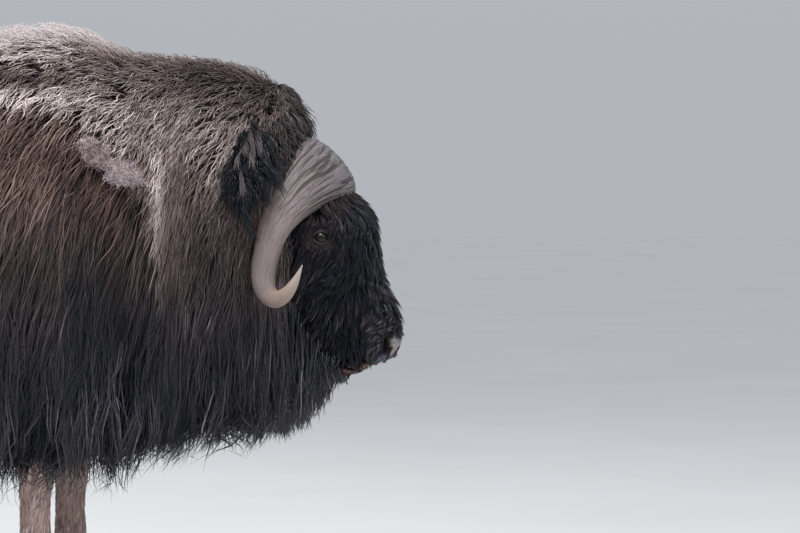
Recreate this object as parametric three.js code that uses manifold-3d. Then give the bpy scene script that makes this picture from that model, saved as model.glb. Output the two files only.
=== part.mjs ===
// A bull muskox at life size, standing with its head low and turned a little to its right.
// Millimetres. Before the last shift it faces +X, its left side is +Y and its hooves stand on Z = 0.
import * as THREE from "three";
import Module from "manifold-3d";

const wasm = await Module();
wasm.setup();

const { lerp, clamp, smoothstep, degToRad } = THREE.MathUtils;

// Clearance that touching pieces keep.
const GAP = 0.3;

// The head is turned to the animal's right, about a point in the neck.
const HEAD_TURN = degToRad(12);
const BEND_START_X = 560;
const BEND_END_X = 745;
const BEND_PIVOT_X = 700;

// The trunk's coat, seen from the side and the top, as [x, size] pairs.
const BACK_Z = [[-880, 1235], [-700, 1268], [-400, 1296], [-100, 1320], [60, 1350], [180, 1392],
  [300, 1403], [400, 1386], [470, 1348], [560, 1338], [700, 1325], [800, 1300], [850, 1282]];
const HALF_WIDTH = [[-880, 372], [-600, 395], [-200, 402], [200, 405], [400, 388], [560, 350], [700, 300],
  [780, 255], [850, 205]];
const HEM_Z = [[-880, 325], [-500, 295], [0, 290], [240, 308], [480, 328], [560, 368], [700, 388],
  [850, 415]];
const BELLY_Z = [[-880, 620], [-500, 545], [0, 525], [300, 530], [560, 560], [850, 600]];
const SIDE_DEPTH = [[-880, 85], [300, 85], [600, 70], [850, 45]];
const BACK_DEPTH = 55;
const WIDEST_Z = 880;
const HEM_SHARE = 0.93;
const ROUNDNESS = 0.8;

// Both ends of the trunk close round a vertical axis, the rump at the back and the mane at the front.
const RUMP = { x: -880, reach: 270, arc: 508 };
const MANE = { x: 850, reach: 105, arc: 250, lift: 190 };
const RUMP_MIDDLE = RUMP.x - RUMP.arc;

// Where the trunk is parted into nodes.
const FLANK_START_X = -420;
const SHOULDER_START_X = 120;
const NECK_START_X = 560;

// Under the locks the wool is solid up to this share of the coat's depth.
const WOOL_DEPTH = 0.42;

// Tiers of locks, from the skirt up to the spine. Root and tip are shares of the way from spine to hem,
// spacing and width run along the body, and drift is how far a lock leans back before its tip.
const TIERS = [
  { root: 0.56, tip: 1, spacing: 132, width: 78, thick: 16, drift: 14 },
  { root: 0.34, tip: 0.8, spacing: 172, width: 94, thick: 16, drift: 50 },
  { root: 0.14, tip: 0.57, spacing: 188, width: 102, thick: 16, drift: 85 },
  { root: 0, tip: 0.34, spacing: 205, width: 106, thick: 15, drift: 95 },
];
const LOCK_RINGS = [[0, 0.7], [0.36, 1], [0.72, 0.68]];
const TIP_DEPTH = 0.93;
const ROOT_DEPTH = -0.2;
const LOCK_RISE = 0.55;

// Pads of shedding wool on the hump: run, share of the way down, half length and half height.
const WOOL_PADS = [[110, 0.13, 72, 50], [215, 0.24, 76, 52], [270, 0.09, 72, 50], [375, 0.2, 70, 48]];
const WOOL_PAD_THICKNESS = 26;

// The head as stations from the neck to the nose: its top edge, its under edge and its half width.
const HEAD = [
  { top: [900, 1118], under: [812, 650], half: 142 },
  { top: [950, 1082], under: [832, 652], half: 140 },
  { top: [1000, 1042], under: [856, 648], half: 136 },
  { top: [1046, 1000], under: [882, 640], half: 132 },
  { top: [1086, 962], under: [905, 630], half: 128 },
  { top: [1104, 920], under: [924, 620], half: 122 },
  { top: [1112, 868], under: [943, 608], half: 112 },
  { top: [1120, 815], under: [962, 597], half: 101 },
  { top: [1141, 765], under: [982, 585], half: 93 },
  { top: [1158, 712], under: [1003, 573], half: 88 },
  { top: [1163, 665], under: [1026, 563], half: 84 },
  { top: [1156, 630], under: [1054, 565], half: 75 },
  { top: [1141, 608], under: [1084, 578], half: 52 },
];
const HEAD_TIP = [1116, 592];
const HEAD_SQUARENESS = 2.5;
const JAW_TAPER = 0.2;

// The eye, its socket and its lids.
const EYE = { x: 996, y: 119, z: 898, radius: 20 };
const EYE_FORWARD = degToRad(18);
const LID = { thickness: 3.4, open: degToRad(31), reach: degToRad(74) };

// Soft swellings of the face: centre in side view, radius and height outwards.
const SWELLINGS = [
  { x: 994, z: 900, radius: 52, height: 16 },
  { x: 1060, z: 850, radius: 40, height: -7 },
  { x: 930, z: 760, radius: 75, height: 9 },
  { x: 1105, z: 640, radius: 34, height: 6 },
  { x: 1060, z: 612, radius: 26, height: 4 },
];

const NOSTRIL = { x: 1139, y: 46, z: 640, height: 19, width: 10, depth: 26 };
const MOUTH = { x: 1006, z: 599, reach: 98, half: 84, depth: 10, opening: 3, tilt: degToRad(3) };

// The horn from the boss to the tip: centre, half width across the sweep, half thickness, and how far the
// thickness has turned from the brow's outward direction (0) to straight sideways (1).
const HORN = [
  { at: [984, 5, 1066], wide: 96, thick: 46, turn: 0 },
  { at: [980, 40, 1058], wide: 90, thick: 48, turn: 0.12 },
  { at: [962, 80, 1036], wide: 75, thick: 46, turn: 0.3 },
  { at: [937, 122, 1003], wide: 60, thick: 40, turn: 0.5 },
  { at: [914, 158, 967], wide: 50, thick: 35, turn: 0.75 },
  { at: [897, 186, 926], wide: 40, thick: 31, turn: 0.9 },
  { at: [884, 200, 878], wide: 33, thick: 28, turn: 1 },
  { at: [877, 216, 828], wide: 30, thick: 27, turn: 1 },
  { at: [882, 234, 786], wide: 27, thick: 25, turn: 1 },
  { at: [899, 250, 761], wide: 23.5, thick: 22, turn: 1 },
  { at: [923, 266, 755], wide: 20, thick: 19, turn: 1 },
  { at: [949, 281, 770], wide: 16, thick: 15, turn: 1 },
  { at: [971, 293, 798], wide: 10, thick: 9.5, turn: 1 },
];
const HORN_TIP = [993, 306, 839];
const BROW_OUT = [0.743, 0, 0.67];

// The ear hangs from behind the boss: a cup whose middle line bends out and down.
const EAR = {
  root: [842, 178, 1142],
  elbow: [826, 252, 1120],
  tip: [826, 268, 962],
  half: 40,
  wall: 7,
  cup: 20,
};

// Hair that hangs from the ear, as [share along the ear, reach forward, length, half width].
const EAR_HAIR_THICKNESS = 11;
const EAR_LOCKS = [[0.3, -26, 150, 24], [0.45, 16, 170, 26], [0.7, -6, 130, 22]];

// Locks of the beard along the throat, and of the cheek, on each side: root, tip and half width.
const BEARD_LOCKS = [
  { root: [890, 36, 690], tip: [888, 40, 428], wide: 42 },
  { root: [930, 30, 668], tip: [938, 26, 452], wide: 38 },
  { root: [972, 34, 645], tip: [984, 32, 520], wide: 34 },
];
const CHEEK_LOCKS = [
  { root: [890, 96, 820], tip: [868, 144, 630], wide: 46 },
  { root: [938, 88, 762], tip: [922, 122, 584], wide: 42 },
  { root: [966, 80, 706], tip: [956, 98, 540], wide: 36 },
];
const SIDE_LOCK_THICKNESS = 15;

// Locks of the forelock that fall over the back of the boss.
const FORELOCK = [
  { root: [840, 16, 1215], tip: [956, 20, 1168], wide: 46 },
  { root: [838, 68, 1205], tip: [940, 82, 1140], wide: 44 },
];

// Legs as rings from the knee's upper end to the coronet: height, shift along x, half length, half width.
const FORE_LEG = [[540, -15, 85, 62], [470, -10, 68, 54], [410, 0, 52, 48], [355, 4, 49, 46],
  [300, 2, 40, 40], [225, 0, 35, 37], [150, 0, 39, 41], [112, 3, 45, 47], [84, 13, 43, 48],
  [62, 20, 47, 52]];
const HIND_LEG = [[540, 20, 112, 70], [475, -20, 76, 54], [425, -46, 54, 43], [375, -43, 43, 39],
  [300, -30, 35, 36], [225, -20, 33, 35], [150, -12, 37, 39], [112, -6, 41, 44], [84, 6, 40, 45],
  [62, 13, 44, 49]];
const FEET = [
  { name: "front_right", x: 272, y: -152, rings: FORE_LEG, front: true },
  { name: "front_left", x: 340, y: 150, rings: FORE_LEG, front: true },
  { name: "hind_right", x: -790, y: -140, rings: HIND_LEG, front: false },
  { name: "hind_left", x: -690, y: 142, rings: HIND_LEG, front: false },
];
const LEG_TOP_Z = 540;
const HOOF_TOP_Z = 61.7;
const CLAW = { heel: -40, toe: 78, half: 27, cleft: 4, lean: 20 };

const TAIL = [[1015, -1092, 34, 22], [960, -1112, 36, 26], [900, -1128, 30, 24], [850, -1138, 18, 16]];

const COLOURS = {
  wool: new THREE.Color(0.3, 0.22, 0.17),
  guard: new THREE.Color(0.09, 0.065, 0.055),
  face: new THREE.Color(0.04, 0.035, 0.035),
  stocking: new THREE.Color(0.55, 0.46, 0.36),
  horn: new THREE.Color(0.42, 0.33, 0.28),
  hoof: new THREE.Color(0.07, 0.06, 0.055),
  eye: new THREE.Color(0.03, 0.015, 0.01),
};

const vec = (x, y, z) => new THREE.Vector3(x, y, z);
// A place given for the left side (1), or its like on the right (-1).
const sided = ([x, y, z], side) => vec(x, side * y, z);
const indices = (count) => Array.from({ length: count }, (_, i) => i);

// A smooth curve through [x, size] pairs, flat past both ends.
function along(pairs, x) {
  const last = pairs.length - 1;
  if (x <= pairs[0][0]) return pairs[0][1];
  if (x >= pairs[last][0]) return pairs[last][1];
  const i = pairs.findIndex((pair) => pair[0] > x) - 1;
  const slope = (k) => {
    const a = pairs[Math.max(k - 1, 0)];
    const b = pairs[Math.min(k + 1, last)];
    return (b[1] - a[1]) / (b[0] - a[0]);
  };
  const span = pairs[i + 1][0] - pairs[i][0];
  const t = (x - pairs[i][0]) / span;
  const [t2, t3] = [t * t, t * t * t];
  return (2 * t3 - 3 * t2 + 1) * pairs[i][1] + (t3 - 2 * t2 + t) * span * slope(i)
    + (3 * t2 - 2 * t3) * pairs[i + 1][1] + (t3 - t2) * span * slope(i + 1);
}

const signedPower = (value, power) => Math.sign(value) * Math.abs(value) ** power;

// Carries a point of the straight animal to its place with the head turned.
function turned(p) {
  const angle = -HEAD_TURN * smoothstep(p.x, BEND_START_X, BEND_END_X);
  const dx = p.x - BEND_PIVOT_X;
  return vec(BEND_PIVOT_X + dx * Math.cos(angle) - p.y * Math.sin(angle),
    dx * Math.sin(angle) + p.y * Math.cos(angle), p.z);
}

// A closed solid from points and faces. Points at one place are merged and collapsed faces dropped.
function closed(points, faces) {
  const places = new Map();
  const kept = [];
  const ids = points.map((p) => {
    const key = [p.x, p.y, p.z].map((c) => Math.round(c * 1e4)).join();
    if (!places.has(key)) places.set(key, kept.push(p.x, p.y, p.z) / 3 - 1);
    return places.get(key);
  });
  const triangles = faces.map((face) => face.map((i) => ids[i])).filter((face) => new Set(face).size === 3);
  const build = (list) => new wasm.Manifold(new wasm.Mesh({
    numProp: 3,
    vertProperties: new Float32Array(kept),
    triVerts: new Uint32Array(list.flat()),
  }));
  const made = build(triangles);
  return made.volume() < 0 ? build(triangles.map(([a, b, c]) => [a, c, b])) : made;
}

// A solid through rings of points. Each end is closed by a fan to a tip, or to the ring's own middle.
function loft(rings, startTip, endTip) {
  const n = rings[0].length;
  const points = rings.flat();
  const faces = [];
  for (let r = 0; r + 1 < rings.length; r++) {
    for (let i = 0; i < n; i++) {
      const [a, b] = [r * n + i, r * n + ((i + 1) % n)];
      faces.push([a, b, b + n], [a, b + n, a + n]);
    }
  }
  const middle = (ring) => ring.reduce((sum, p) => sum.add(p), vec(0, 0, 0)).divideScalar(n);
  const first = points.push(startTip ?? middle(rings[0])) - 1;
  const last = points.push(endTip ?? middle(rings.at(-1))) - 1;
  const lastRing = (rings.length - 1) * n;
  for (let i = 0; i < n; i++) {
    const j = (i + 1) % n;
    faces.push([j, i, first], [lastRing + i, lastRing + j, last]);
  }
  return closed(points, faces);
}

const joined = (solids) => wasm.Manifold.union(solids);

// The same solid a clearance larger all round: each corner moves until every face at it has moved out enough.
function grown(solid) {
  const mesh = solid.getMesh();
  const corners = indices(mesh.numVert).map((i) => vec(...mesh.vertProperties.subarray(3 * i, 3 * i + 3)));
  const sums = corners.map(() => vec(0, 0, 0));
  const least = corners.map(() => 1);
  const triangles = indices(mesh.numTri).map((t) => [...mesh.triVerts.subarray(3 * t, 3 * t + 3)]);
  const outward = triangles.map((triangle) =>
    new THREE.Triangle(...triangle.map((i) => corners[i])).getNormal(vec(0, 0, 0)));
  triangles.forEach(([i, j, k], t) => {
    for (const [at, next, before] of [[i, j, k], [j, k, i], [k, i, j]]) {
      const angle = corners[next].clone().sub(corners[at]).angleTo(corners[before].clone().sub(corners[at]));
      sums[at].addScaledVector(outward[t], angle);
    }
  });
  sums.forEach((sum) => sum.normalize());
  triangles.forEach((triangle, t) => {
    for (const i of triangle) least[i] = Math.min(least[i], sums[i].dot(outward[t]));
  });
  corners.forEach((p, i) => p.addScaledVector(sums[i], GAP / Math.max(least[i], 0.25)));
  mesh.vertProperties = new Float32Array(corners.flatMap((p) => p.toArray()));
  return new wasm.Manifold(mesh);
}

// A ring of points round a centre, in the plane of two half axes.
function ellipse(centre, across, up, sides, squareness = 2) {
  return indices(sides).map((i) => {
    const angle = (2 * Math.PI * i) / sides;
    return centre.clone()
      .addScaledVector(across, signedPower(Math.cos(angle), 2 / squareness))
      .addScaledVector(up, signedPower(Math.sin(angle), 2 / squareness));
  });
}

function ball(centre, radius, rows, sides) {
  const shape = new THREE.SphereGeometry(radius, sides, rows);
  shape.rotateX(Math.PI / 2);
  return solidOf(shape.translate(centre.x, centre.y, centre.z));
}

// A closed three.js geometry as a solid.
function solidOf(geometry) {
  const flat = geometry.index ? geometry.toNonIndexed() : geometry;
  const place = flat.getAttribute("position");
  const points = indices(place.count).map((i) => vec(0, 0, 0).fromBufferAttribute(place, i));
  const faces = indices(place.count / 3).map((i) => [3 * i, 3 * i + 1, 3 * i + 2]);
  return closed(points, faces);
}

// The coat's outer edge in the section at x. The share goes from the spine (0) over the side to the hem (1).
function coatEdge(x, share) {
  const width = along(HALF_WIDTH, x);
  if (share < 0.5) {
    const angle = share * Math.PI;
    const rise = along(BACK_Z, x) - WIDEST_Z;
    return { y: width * Math.sin(angle) ** ROUNDNESS, z: WIDEST_Z + rise * Math.cos(angle) ** ROUNDNESS };
  }
  const fall = 2 * share - 1;
  return { y: width * lerp(1, HEM_SHARE, fall ** 1.6), z: lerp(WIDEST_Z, along(HEM_Z, x), fall) };
}

// The body under the coat in the same section, from the spine (0) to the middle of the belly (1).
function bodyEdge(x, share) {
  const angle = share * Math.PI;
  const width = along(HALF_WIDTH, x) - along(SIDE_DEPTH, x);
  const rise = along(BACK_Z, x) - BACK_DEPTH - WIDEST_Z;
  const fall = WIDEST_Z - along(BELLY_Z, x);
  const cosine = signedPower(Math.cos(angle), ROUNDNESS);
  return { y: width * Math.sin(angle) ** ROUNDNESS, z: WIDEST_Z + cosine * (cosine > 0 ? rise : fall) };
}

// A point of the trunk. The run is x along the sides, and goes on round the rump and the front of the mane.
// Depth is 0 on the body and 1 on the coat's edge.
function trunk(run, share, depth, side) {
  const x = clamp(run, RUMP.x, MANE.x);
  const [body, coat] = [bodyEdge(x, share), coatEdge(x, share)];
  const y = Math.max(lerp(body.y, coat.y, depth), 0);
  const z = lerp(body.z, coat.z, depth);
  const end = run < x ? RUMP : MANE;
  const round = (Math.min(Math.abs(run - x) / end.arc, 1) * Math.PI) / 2;
  const forward = Math.sign(run - x) * y * Math.sin(round) * (end.reach / along(HALF_WIDTH, x));
  const lift = end === MANE ? (MANE.lift * Math.sin(round) * Math.max(WIDEST_Z - z, 0)) / WIDEST_Z : 0;
  return vec(x + forward, side * (y * Math.cos(round) + GAP / 2), z + lift);
}

const spread = (from, to, steps) => indices(steps + 1).map((i) => lerp(from, to, i / steps));

const SECTION_STEPS = 8;

// Repeatable random numbers between -1 and 1.
let seed = 417;
function vary() {
  seed = (seed * 16807) % 2147483647;
  return (2 * seed) / 2147483647 - 1;
}

// A lock: a flat wedge of four sides that tapers along a path and lies with its flat side out.
function lock(path, outward, width, thick) {
  const rings = LOCK_RINGS.map(([s, share]) => {
    const ahead = path(Math.min(s + 0.08, 1)).sub(path(Math.max(s - 0.08, 0))).normalize();
    const across = ahead.clone().cross(outward(s)).normalize();
    const out = across.clone().cross(ahead);
    return ellipse(path(s), across.multiplyScalar(width * share), out.multiplyScalar(thick * share), 4);
  });
  return loft(rings, undefined, path(1));
}

// A lock from a root to a tip that bellies out a little to the given side.
function hangingLock(root, tip, outward, wide, thick = SIDE_LOCK_THICKNESS) {
  const middle = root.clone().lerp(tip, 0.45).addScaledVector(outward, root.distanceTo(tip) * 0.14);
  const curve = new THREE.QuadraticBezierCurve3(root, middle, tip);
  return lock((s) => curve.getPoint(s), () => outward, wide, thick);
}

// One lock of the coat. It starts inside the wool and comes out to the coat's edge on its way down.
function coatLock(tier, run, side) {
  const root = Math.max(tier.root + 0.02 * vary(), 0);
  const tip = Math.min(tier.tip - 0.03 * (1 + vary()), 1);
  const drift = tier.drift * (1 + 0.35 * vary());
  const sway = 22 * vary();
  const depth = (s) => lerp(ROOT_DEPTH, TIP_DEPTH, s ** LOCK_RISE);
  const place = (s, more) =>
    trunk(run - drift * s * s + sway * Math.sin(Math.PI * s), lerp(root, tip, s), depth(s) + more, side);
  const outward = (s) => place(s, 0.4).sub(place(s, 0));
  return lock((s) => place(s, 0), outward, tier.width * (1 + 0.1 * vary()), tier.thick * (1 + 0.2 * vary()));
}

// All locks of one side, with the run at each root.
function coatLocks(side) {
  const made = [];
  for (const tier of TIERS) {
    const crowding = Math.max(Math.sin(Math.min(tier.root, 0.5) * Math.PI), 0.35);
    let run = RUMP_MIDDLE + tier.spacing * 0.4;
    while (run < MANE.x + MANE.arc - tier.spacing * 0.2) {
      made.push({ run, solid: coatLock(tier, run + tier.drift * 0.35, side) });
      const onSide = run > RUMP.x && run < MANE.x;
      run += (tier.spacing * (1 + 0.12 * vary())) / (onSide ? 1 : crowding);
    }
  }
  return made;
}

// A rounded, flattened clump of loose wool that lies on the hump.
function woolPad([run, share, long, high], side) {
  const centre = trunk(run, share, 0.78, side);
  const out = trunk(run, share, 1.2, side).sub(centre).normalize();
  const shape = new THREE.SphereGeometry(1, 7, 5);
  const down = vec(0, 0, -1).addScaledVector(out, out.z).normalize();
  const ahead = down.clone().cross(out);
  const frame = new THREE.Matrix4().makeBasis(ahead.multiplyScalar(long), down.multiplyScalar(high),
    out.multiplyScalar(WOOL_PAD_THICKNESS));
  return solidOf(shape.applyMatrix4(frame.setPosition(centre)));
}

// Half of the trunk between two runs, on one side of the animal.
function trunkHalf(from, to, steps, side, depth) {
  const rings = spread(from, to, steps).map((run) => {
    const ring = spread(0, 1, SECTION_STEPS).map((share) => trunk(run, share, depth, side));
    const x = clamp(run, RUMP.x, MANE.x);
    ring.push(vec(x, (side * GAP) / 2, ring.at(-1).z));
    return ring;
  });
  return loft(rings);
}

// The wool of the neck and of the mane round the back of the head, with the forelock.
function neckForm(depth) {
  const rings = spread(NECK_START_X + GAP / 2, MANE.x + MANE.arc * 0.97, 8).map((run) => {
    const half = (side) => spread(0, 1, SECTION_STEPS).map((share) => trunk(run, share, depth, side));
    return [...half(-1).reverse(), ...half(1)];
  });
  const up = vec(0.3, 0, 1);
  const forelock = FORELOCK.flatMap(({ root, tip, wide }) =>
    [1, -1].map((side) => hangingLock(sided(root, side), sided(tip, side), up, wide)));
  return joined([loft(rings), ...forelock]);
}

// The outline of the head's section at a place between its stations.
function headRing(place, sides) {
  const last = HEAD.length - 1;
  const column = (pick) => along(HEAD.map((station, i) => [i, pick(station)]), clamp(place, 0, last));
  const top = vec(column((s) => s.top[0]), 0, column((s) => s.top[1]));
  const under = vec(column((s) => s.under[0]), 0, column((s) => s.under[1]));
  const middle = top.clone().add(under).multiplyScalar(0.5);
  const up = top.clone().sub(middle);
  return ellipse(middle, vec(0, column((s) => s.half), 0), up, sides, HEAD_SQUARENESS).map((p) => {
    const height = p.clone().sub(middle).dot(up) / up.lengthSq();
    p.y *= 1 - (JAW_TAPER * (1 - height)) / 2;
    for (const s of SWELLINGS) {
      const away = Math.hypot(p.x - s.x, p.z - s.z) / s.radius;
      p.y += Math.sign(p.y) * s.height * Math.exp(-away * away) * Math.min(Math.abs(p.y) / 40, 1);
    }
    return p;
  });
}

const HEAD_SIDES = 22;
const HEAD_RINGS = 17;
const HEAD_ROOM = { sides: 12, rings: 8, scale: 1.075 };

function headForm(sides = HEAD_SIDES, count = HEAD_RINGS) {
  const rings = spread(0, HEAD.length - 1, count).map((place) => headRing(place, sides));
  return loft(rings, undefined, vec(HEAD_TIP[0], 0, HEAD_TIP[1]));
}

// The room that the mane leaves for the head: a coarser form just outside it, with the same flat back.
function headRoom() {
  const rings = spread(0, HEAD.length - 1, HEAD_ROOM.rings).map((place) => {
    const ring = headRing(place, HEAD_ROOM.sides);
    const middle = ring.reduce((sum, p) => sum.add(p), vec(0, 0, 0)).divideScalar(ring.length);
    return ring.map((p) => p.sub(middle).multiplyScalar(HEAD_ROOM.scale).add(middle));
  });
  return grown(loft(rings));
}

const eyeCentre = (side) => vec(EYE.x, side * EYE.y, EYE.z);

// One lid: a rounded ridge that runs over the eyeball from its back corner to its front one.
function lid(side, upper) {
  const centre = eyeCentre(side);
  const out = vec(Math.sin(EYE_FORWARD), side * Math.cos(EYE_FORWARD), 0);
  const ahead = vec(Math.cos(EYE_FORWARD), -side * Math.sin(EYE_FORWARD), 0);
  const up = vec(0, 0, 1);
  const reach = EYE.radius + LID.thickness * 0.55;
  const rings = spread(-1, 1, 5).map((t) => {
    const turn = t * LID.reach;
    const rise = upper * LID.open * Math.cos((t * Math.PI) / 2) + 0.04;
    const ray = out.clone().multiplyScalar(Math.cos(turn) * Math.cos(rise))
      .addScaledVector(ahead, Math.sin(turn) * Math.cos(rise))
      .addScaledVector(up, Math.sin(rise));
    const wide = LID.thickness * (1.9 - Math.abs(t) * 0.6);
    const edge = vec(0, 0, upper).addScaledVector(ray, -ray.z * upper).normalize();
    const place = centre.clone().addScaledVector(ray, reach).addScaledVector(edge, wide * 0.7);
    return ellipse(place, edge.multiplyScalar(wide), ray.multiplyScalar(LID.thickness), 4);
  });
  return loft(rings);
}

function nostril(side) {
  const shape = new THREE.SphereGeometry(1, 9, 6);
  shape.scale(NOSTRIL.depth, NOSTRIL.width, NOSTRIL.height);
  shape.rotateY(degToRad(12));
  shape.rotateX(side * degToRad(-18));
  shape.rotateZ(side * degToRad(48));
  return solidOf(shape.translate(NOSTRIL.x, side * NOSTRIL.y, NOSTRIL.z));
}

// The parted lips: a thin slab round the muzzle whose inner edge lies a little inside the lips.
function mouthSlit() {
  const outline = new THREE.Shape();
  const [reach, half] = [MOUTH.reach - MOUTH.depth, MOUTH.half - MOUTH.depth];
  const quarter = Math.PI / 2;
  outline.absellipse(0, 0, MOUTH.reach + 30, MOUTH.half + 40, -quarter, quarter);
  outline.absellipse(0, 0, reach, half, quarter, -quarter, true);
  const options = { depth: MOUTH.opening, bevelEnabled: false, curveSegments: 8 };
  const slab = new THREE.ExtrudeGeometry(outline, options);
  slab.translate(0, 0, -MOUTH.opening / 2);
  slab.rotateY(MOUTH.tilt);
  return solidOf(slab.translate(MOUTH.x, 0, MOUTH.z));
}

const eyeSocket = (side) => ball(eyeCentre(side), EYE.radius + GAP, EYE_ROWS, EYE_SIDES);

// The long hair of one side of the head: the beard under the throat and the locks over the cheek.
function headLocks(side) {
  const hang = (outward) => ({ root, tip, wide }) =>
    hangingLock(sided(root, side), sided(tip, side), outward, wide);
  return [...BEARD_LOCKS.map(hang(vec(0.8, side * 0.6, 0))), ...CHEEK_LOCKS.map(hang(vec(0, side, 0)))];
}

function head() {
  const lids = [lid(1, 1), lid(1, -1), lid(-1, 1), lid(-1, -1)];
  let made = joined([headForm(), ...lids, ...headLocks(1), ...headLocks(-1)]);
  for (const side of [1, -1]) made = made.subtract(eyeSocket(side)).subtract(nostril(side));
  return made.subtract(mouthSlit());
}

const HORN_SIDES = 10;
const EYE_ROWS = 6;
const EYE_SIDES = 10;

function hornForm(side) {
  const centres = HORN.map((s) => sided(s.at, side));
  const tip = sided(HORN_TIP, side);
  const path = new THREE.CatmullRomCurve3([...centres, tip]);
  const count = HORN.length;
  const places = spread(0, count - 1, 18);
  const rings = places.map((place) => {
    const t = place / count;
    const size = (pick) => along(HORN.map((s, i) => [i, pick(s)]), place);
    const heading = place === 0 ? vec(0, side, 0) : path.getTangent(t);
    const brow = vec(...BROW_OUT);
    const out = brow.lerp(vec(0, side, 0), size((s) => s.turn));
    const wide = heading.clone().cross(out).normalize();
    const thick = wide.clone().cross(heading).normalize();
    return ellipse(path.getPoint(t), wide.multiplyScalar(size((s) => s.wide)),
      thick.multiplyScalar(size((s) => s.thick)), HORN_SIDES, 2.2);
  });
  return loft(rings, undefined, tip);
}

// The ear: a leaf-shaped cup that opens outwards and forwards and hangs down.
function earForm(side) {
  const [root, elbow, tip] = [EAR.root, EAR.elbow, EAR.tip].map((place) => sided(place, side));
  const middle = new THREE.QuadraticBezierCurve3(root, elbow, tip);
  const sides = 5;
  const rings = spread(0, 1, 6).slice(0, -1).map((t) => {
    const heading = middle.getTangent(t);
    const across = vec(1, 0, 0).addScaledVector(heading, -heading.x).normalize();
    const out = across.clone().cross(heading).multiplyScalar(-side).normalize();
    const half = EAR.half * Math.sin(Math.PI * (0.2 + 0.8 * t)) ** 0.7;
    const cup = EAR.cup * Math.sin(Math.PI * Math.min(t + 0.1, 1));
    const place = (u, wall) => middle.getPoint(t)
      .addScaledVector(across, u * half)
      .addScaledVector(out, cup * u * u + wall);
    const wall = (EAR.wall * (1 - 0.6 * t)) / 2;
    const back = spread(-1, 1, sides).map((u) => place(u, -wall * (1 - 0.4 * u * u)));
    const front = spread(1, -1, sides).map((u) => place(u, wall * (1 - 0.4 * u * u)));
    return [...back, ...front];
  });
  const hair = EAR_LOCKS.map(([share, reach, length, wide]) => {
    const from = middle.getPoint(share);
    const to = from.clone().add(vec(reach * 1.5, side * 14, -length));
    return hangingLock(from, to, vec(0, side, 0), wide, EAR_HAIR_THICKNESS);
  });
  return [loft(rings, undefined, tip), ...hair];
}

function legRing(foot, [z, shift, long, wide]) {
  return ellipse(vec(foot.x + shift, foot.y, z), vec(long, 0, 0), vec(0, wide, 0), 10, 2.3);
}

function dewclaw(foot, side) {
  const [, shift, long] = foot.rings.at(-2);
  const root = vec(foot.x + shift - long + 16, foot.y + side * 22, 98);
  const ring = ellipse(root, vec(9, 0, 13), vec(0, 12, 0), 8);
  return loft([ring], undefined, root.clone().add(vec(-27, side * 3, -20)));
}

function leg(foot) {
  const top = [LEG_TOP_Z - GAP / 2, ...foot.rings[0].slice(1)];
  const rings = [top, ...foot.rings.slice(1)].map((ring) => legRing(foot, ring));
  return joined([loft(rings), dewclaw(foot, 1), dewclaw(foot, -1)]);
}

// A cloven hoof: two claws that lean together at the toe, with a bridge between them under the coronet.
function hoof(foot) {
  const [, shift, long, wide] = foot.rings.at(-1);
  const size = foot.front ? 1 : 0.92;
  const claw = (side) => {
    const rings = [[0, 1], [16, 1], [40, 0.93], [HOOF_TOP_Z, 0.84]].map(([z, share]) => {
      const rise = z / HOOF_TOP_Z;
      const heel = CLAW.heel * size;
      const toe = lerp(CLAW.toe, long * 0.95, rise) * size;
      const half = CLAW.half * size * share;
      const centre = vec(foot.x + shift + (heel + toe) / 2, foot.y + side * (CLAW.cleft + half), z);
      return ellipse(centre, vec((toe - heel) / 2, 0, 0), vec(0, half, 0), 10, 2.6).map((p) => {
        const ahead = Math.max((p.x - centre.x) / (toe - heel), 0);
        const out = side * (p.y - foot.y) - CLAW.lean * ahead * ahead;
        return p.setY(foot.y + side * Math.max(out, CLAW.cleft));
      });
    });
    return loft(rings);
  };
  const bridge = loft([30, HOOF_TOP_Z].map((z) =>
    ellipse(vec(foot.x + shift - 6, foot.y, z), vec(long * 0.7, 0, 0), vec(0, wide * 0.5, 0), 12)));
  return joined([claw(1), claw(-1), bridge]);
}

function tail() {
  const rings = TAIL.map(([z, x, wide, long]) => ellipse(vec(x, 0, z), vec(long, 0, 0), vec(0, wide, 0), 8));
  return loft(rings, undefined, vec(-1142, 0, 836));
}

const group = new THREE.Group();

const finish = (roughness, metalness = 0) => ({ roughness, metalness });

// Adds a node. Only its largest closed body is kept.
function add(name, solid, colour, look = finish(0.9)) {
  const bodies = solid.decompose().sort((a, b) => b.volume() - a.volume());
  const mesh = bodies[0].getMesh();
  const places = [];
  for (let i = 0; i < mesh.numVert; i++) {
    const [x, y, z] = mesh.vertProperties.subarray(i * mesh.numProp, i * mesh.numProp + 3);
    places.push(...turned(vec(x, y, z)).toArray());
  }
  const geometry = new THREE.BufferGeometry();
  geometry.setAttribute("position", new THREE.Float32BufferAttribute(places, 3));
  geometry.setIndex([...mesh.triVerts]);
  geometry.computeVertexNormals();
  const made = new THREE.Mesh(geometry, new THREE.MeshStandardMaterial({ color: colour, ...look }));
  made.name = name;
  group.add(made);
}

const SIDES = [["right", -1], ["left", 1]];
const PARTS = [
  ["rump", RUMP_MIDDLE, FLANK_START_X - GAP / 2, 8],
  ["flank", FLANK_START_X + GAP / 2, SHOULDER_START_X - GAP / 2, 3],
  ["shoulder", SHOULDER_START_X + GAP / 2, NECK_START_X - GAP / 2, 4],
];

const legs = FEET.map((foot) => grown(leg(foot)));
const coats = SIDES.map(([, side]) => coatLocks(side));
const LOCK_REACH = 160;
const locksNear = (coat, from, to) =>
  coat.filter(({ run }) => run > from - LOCK_REACH && run < to + LOCK_REACH).map(({ solid }) => solid);

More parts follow.
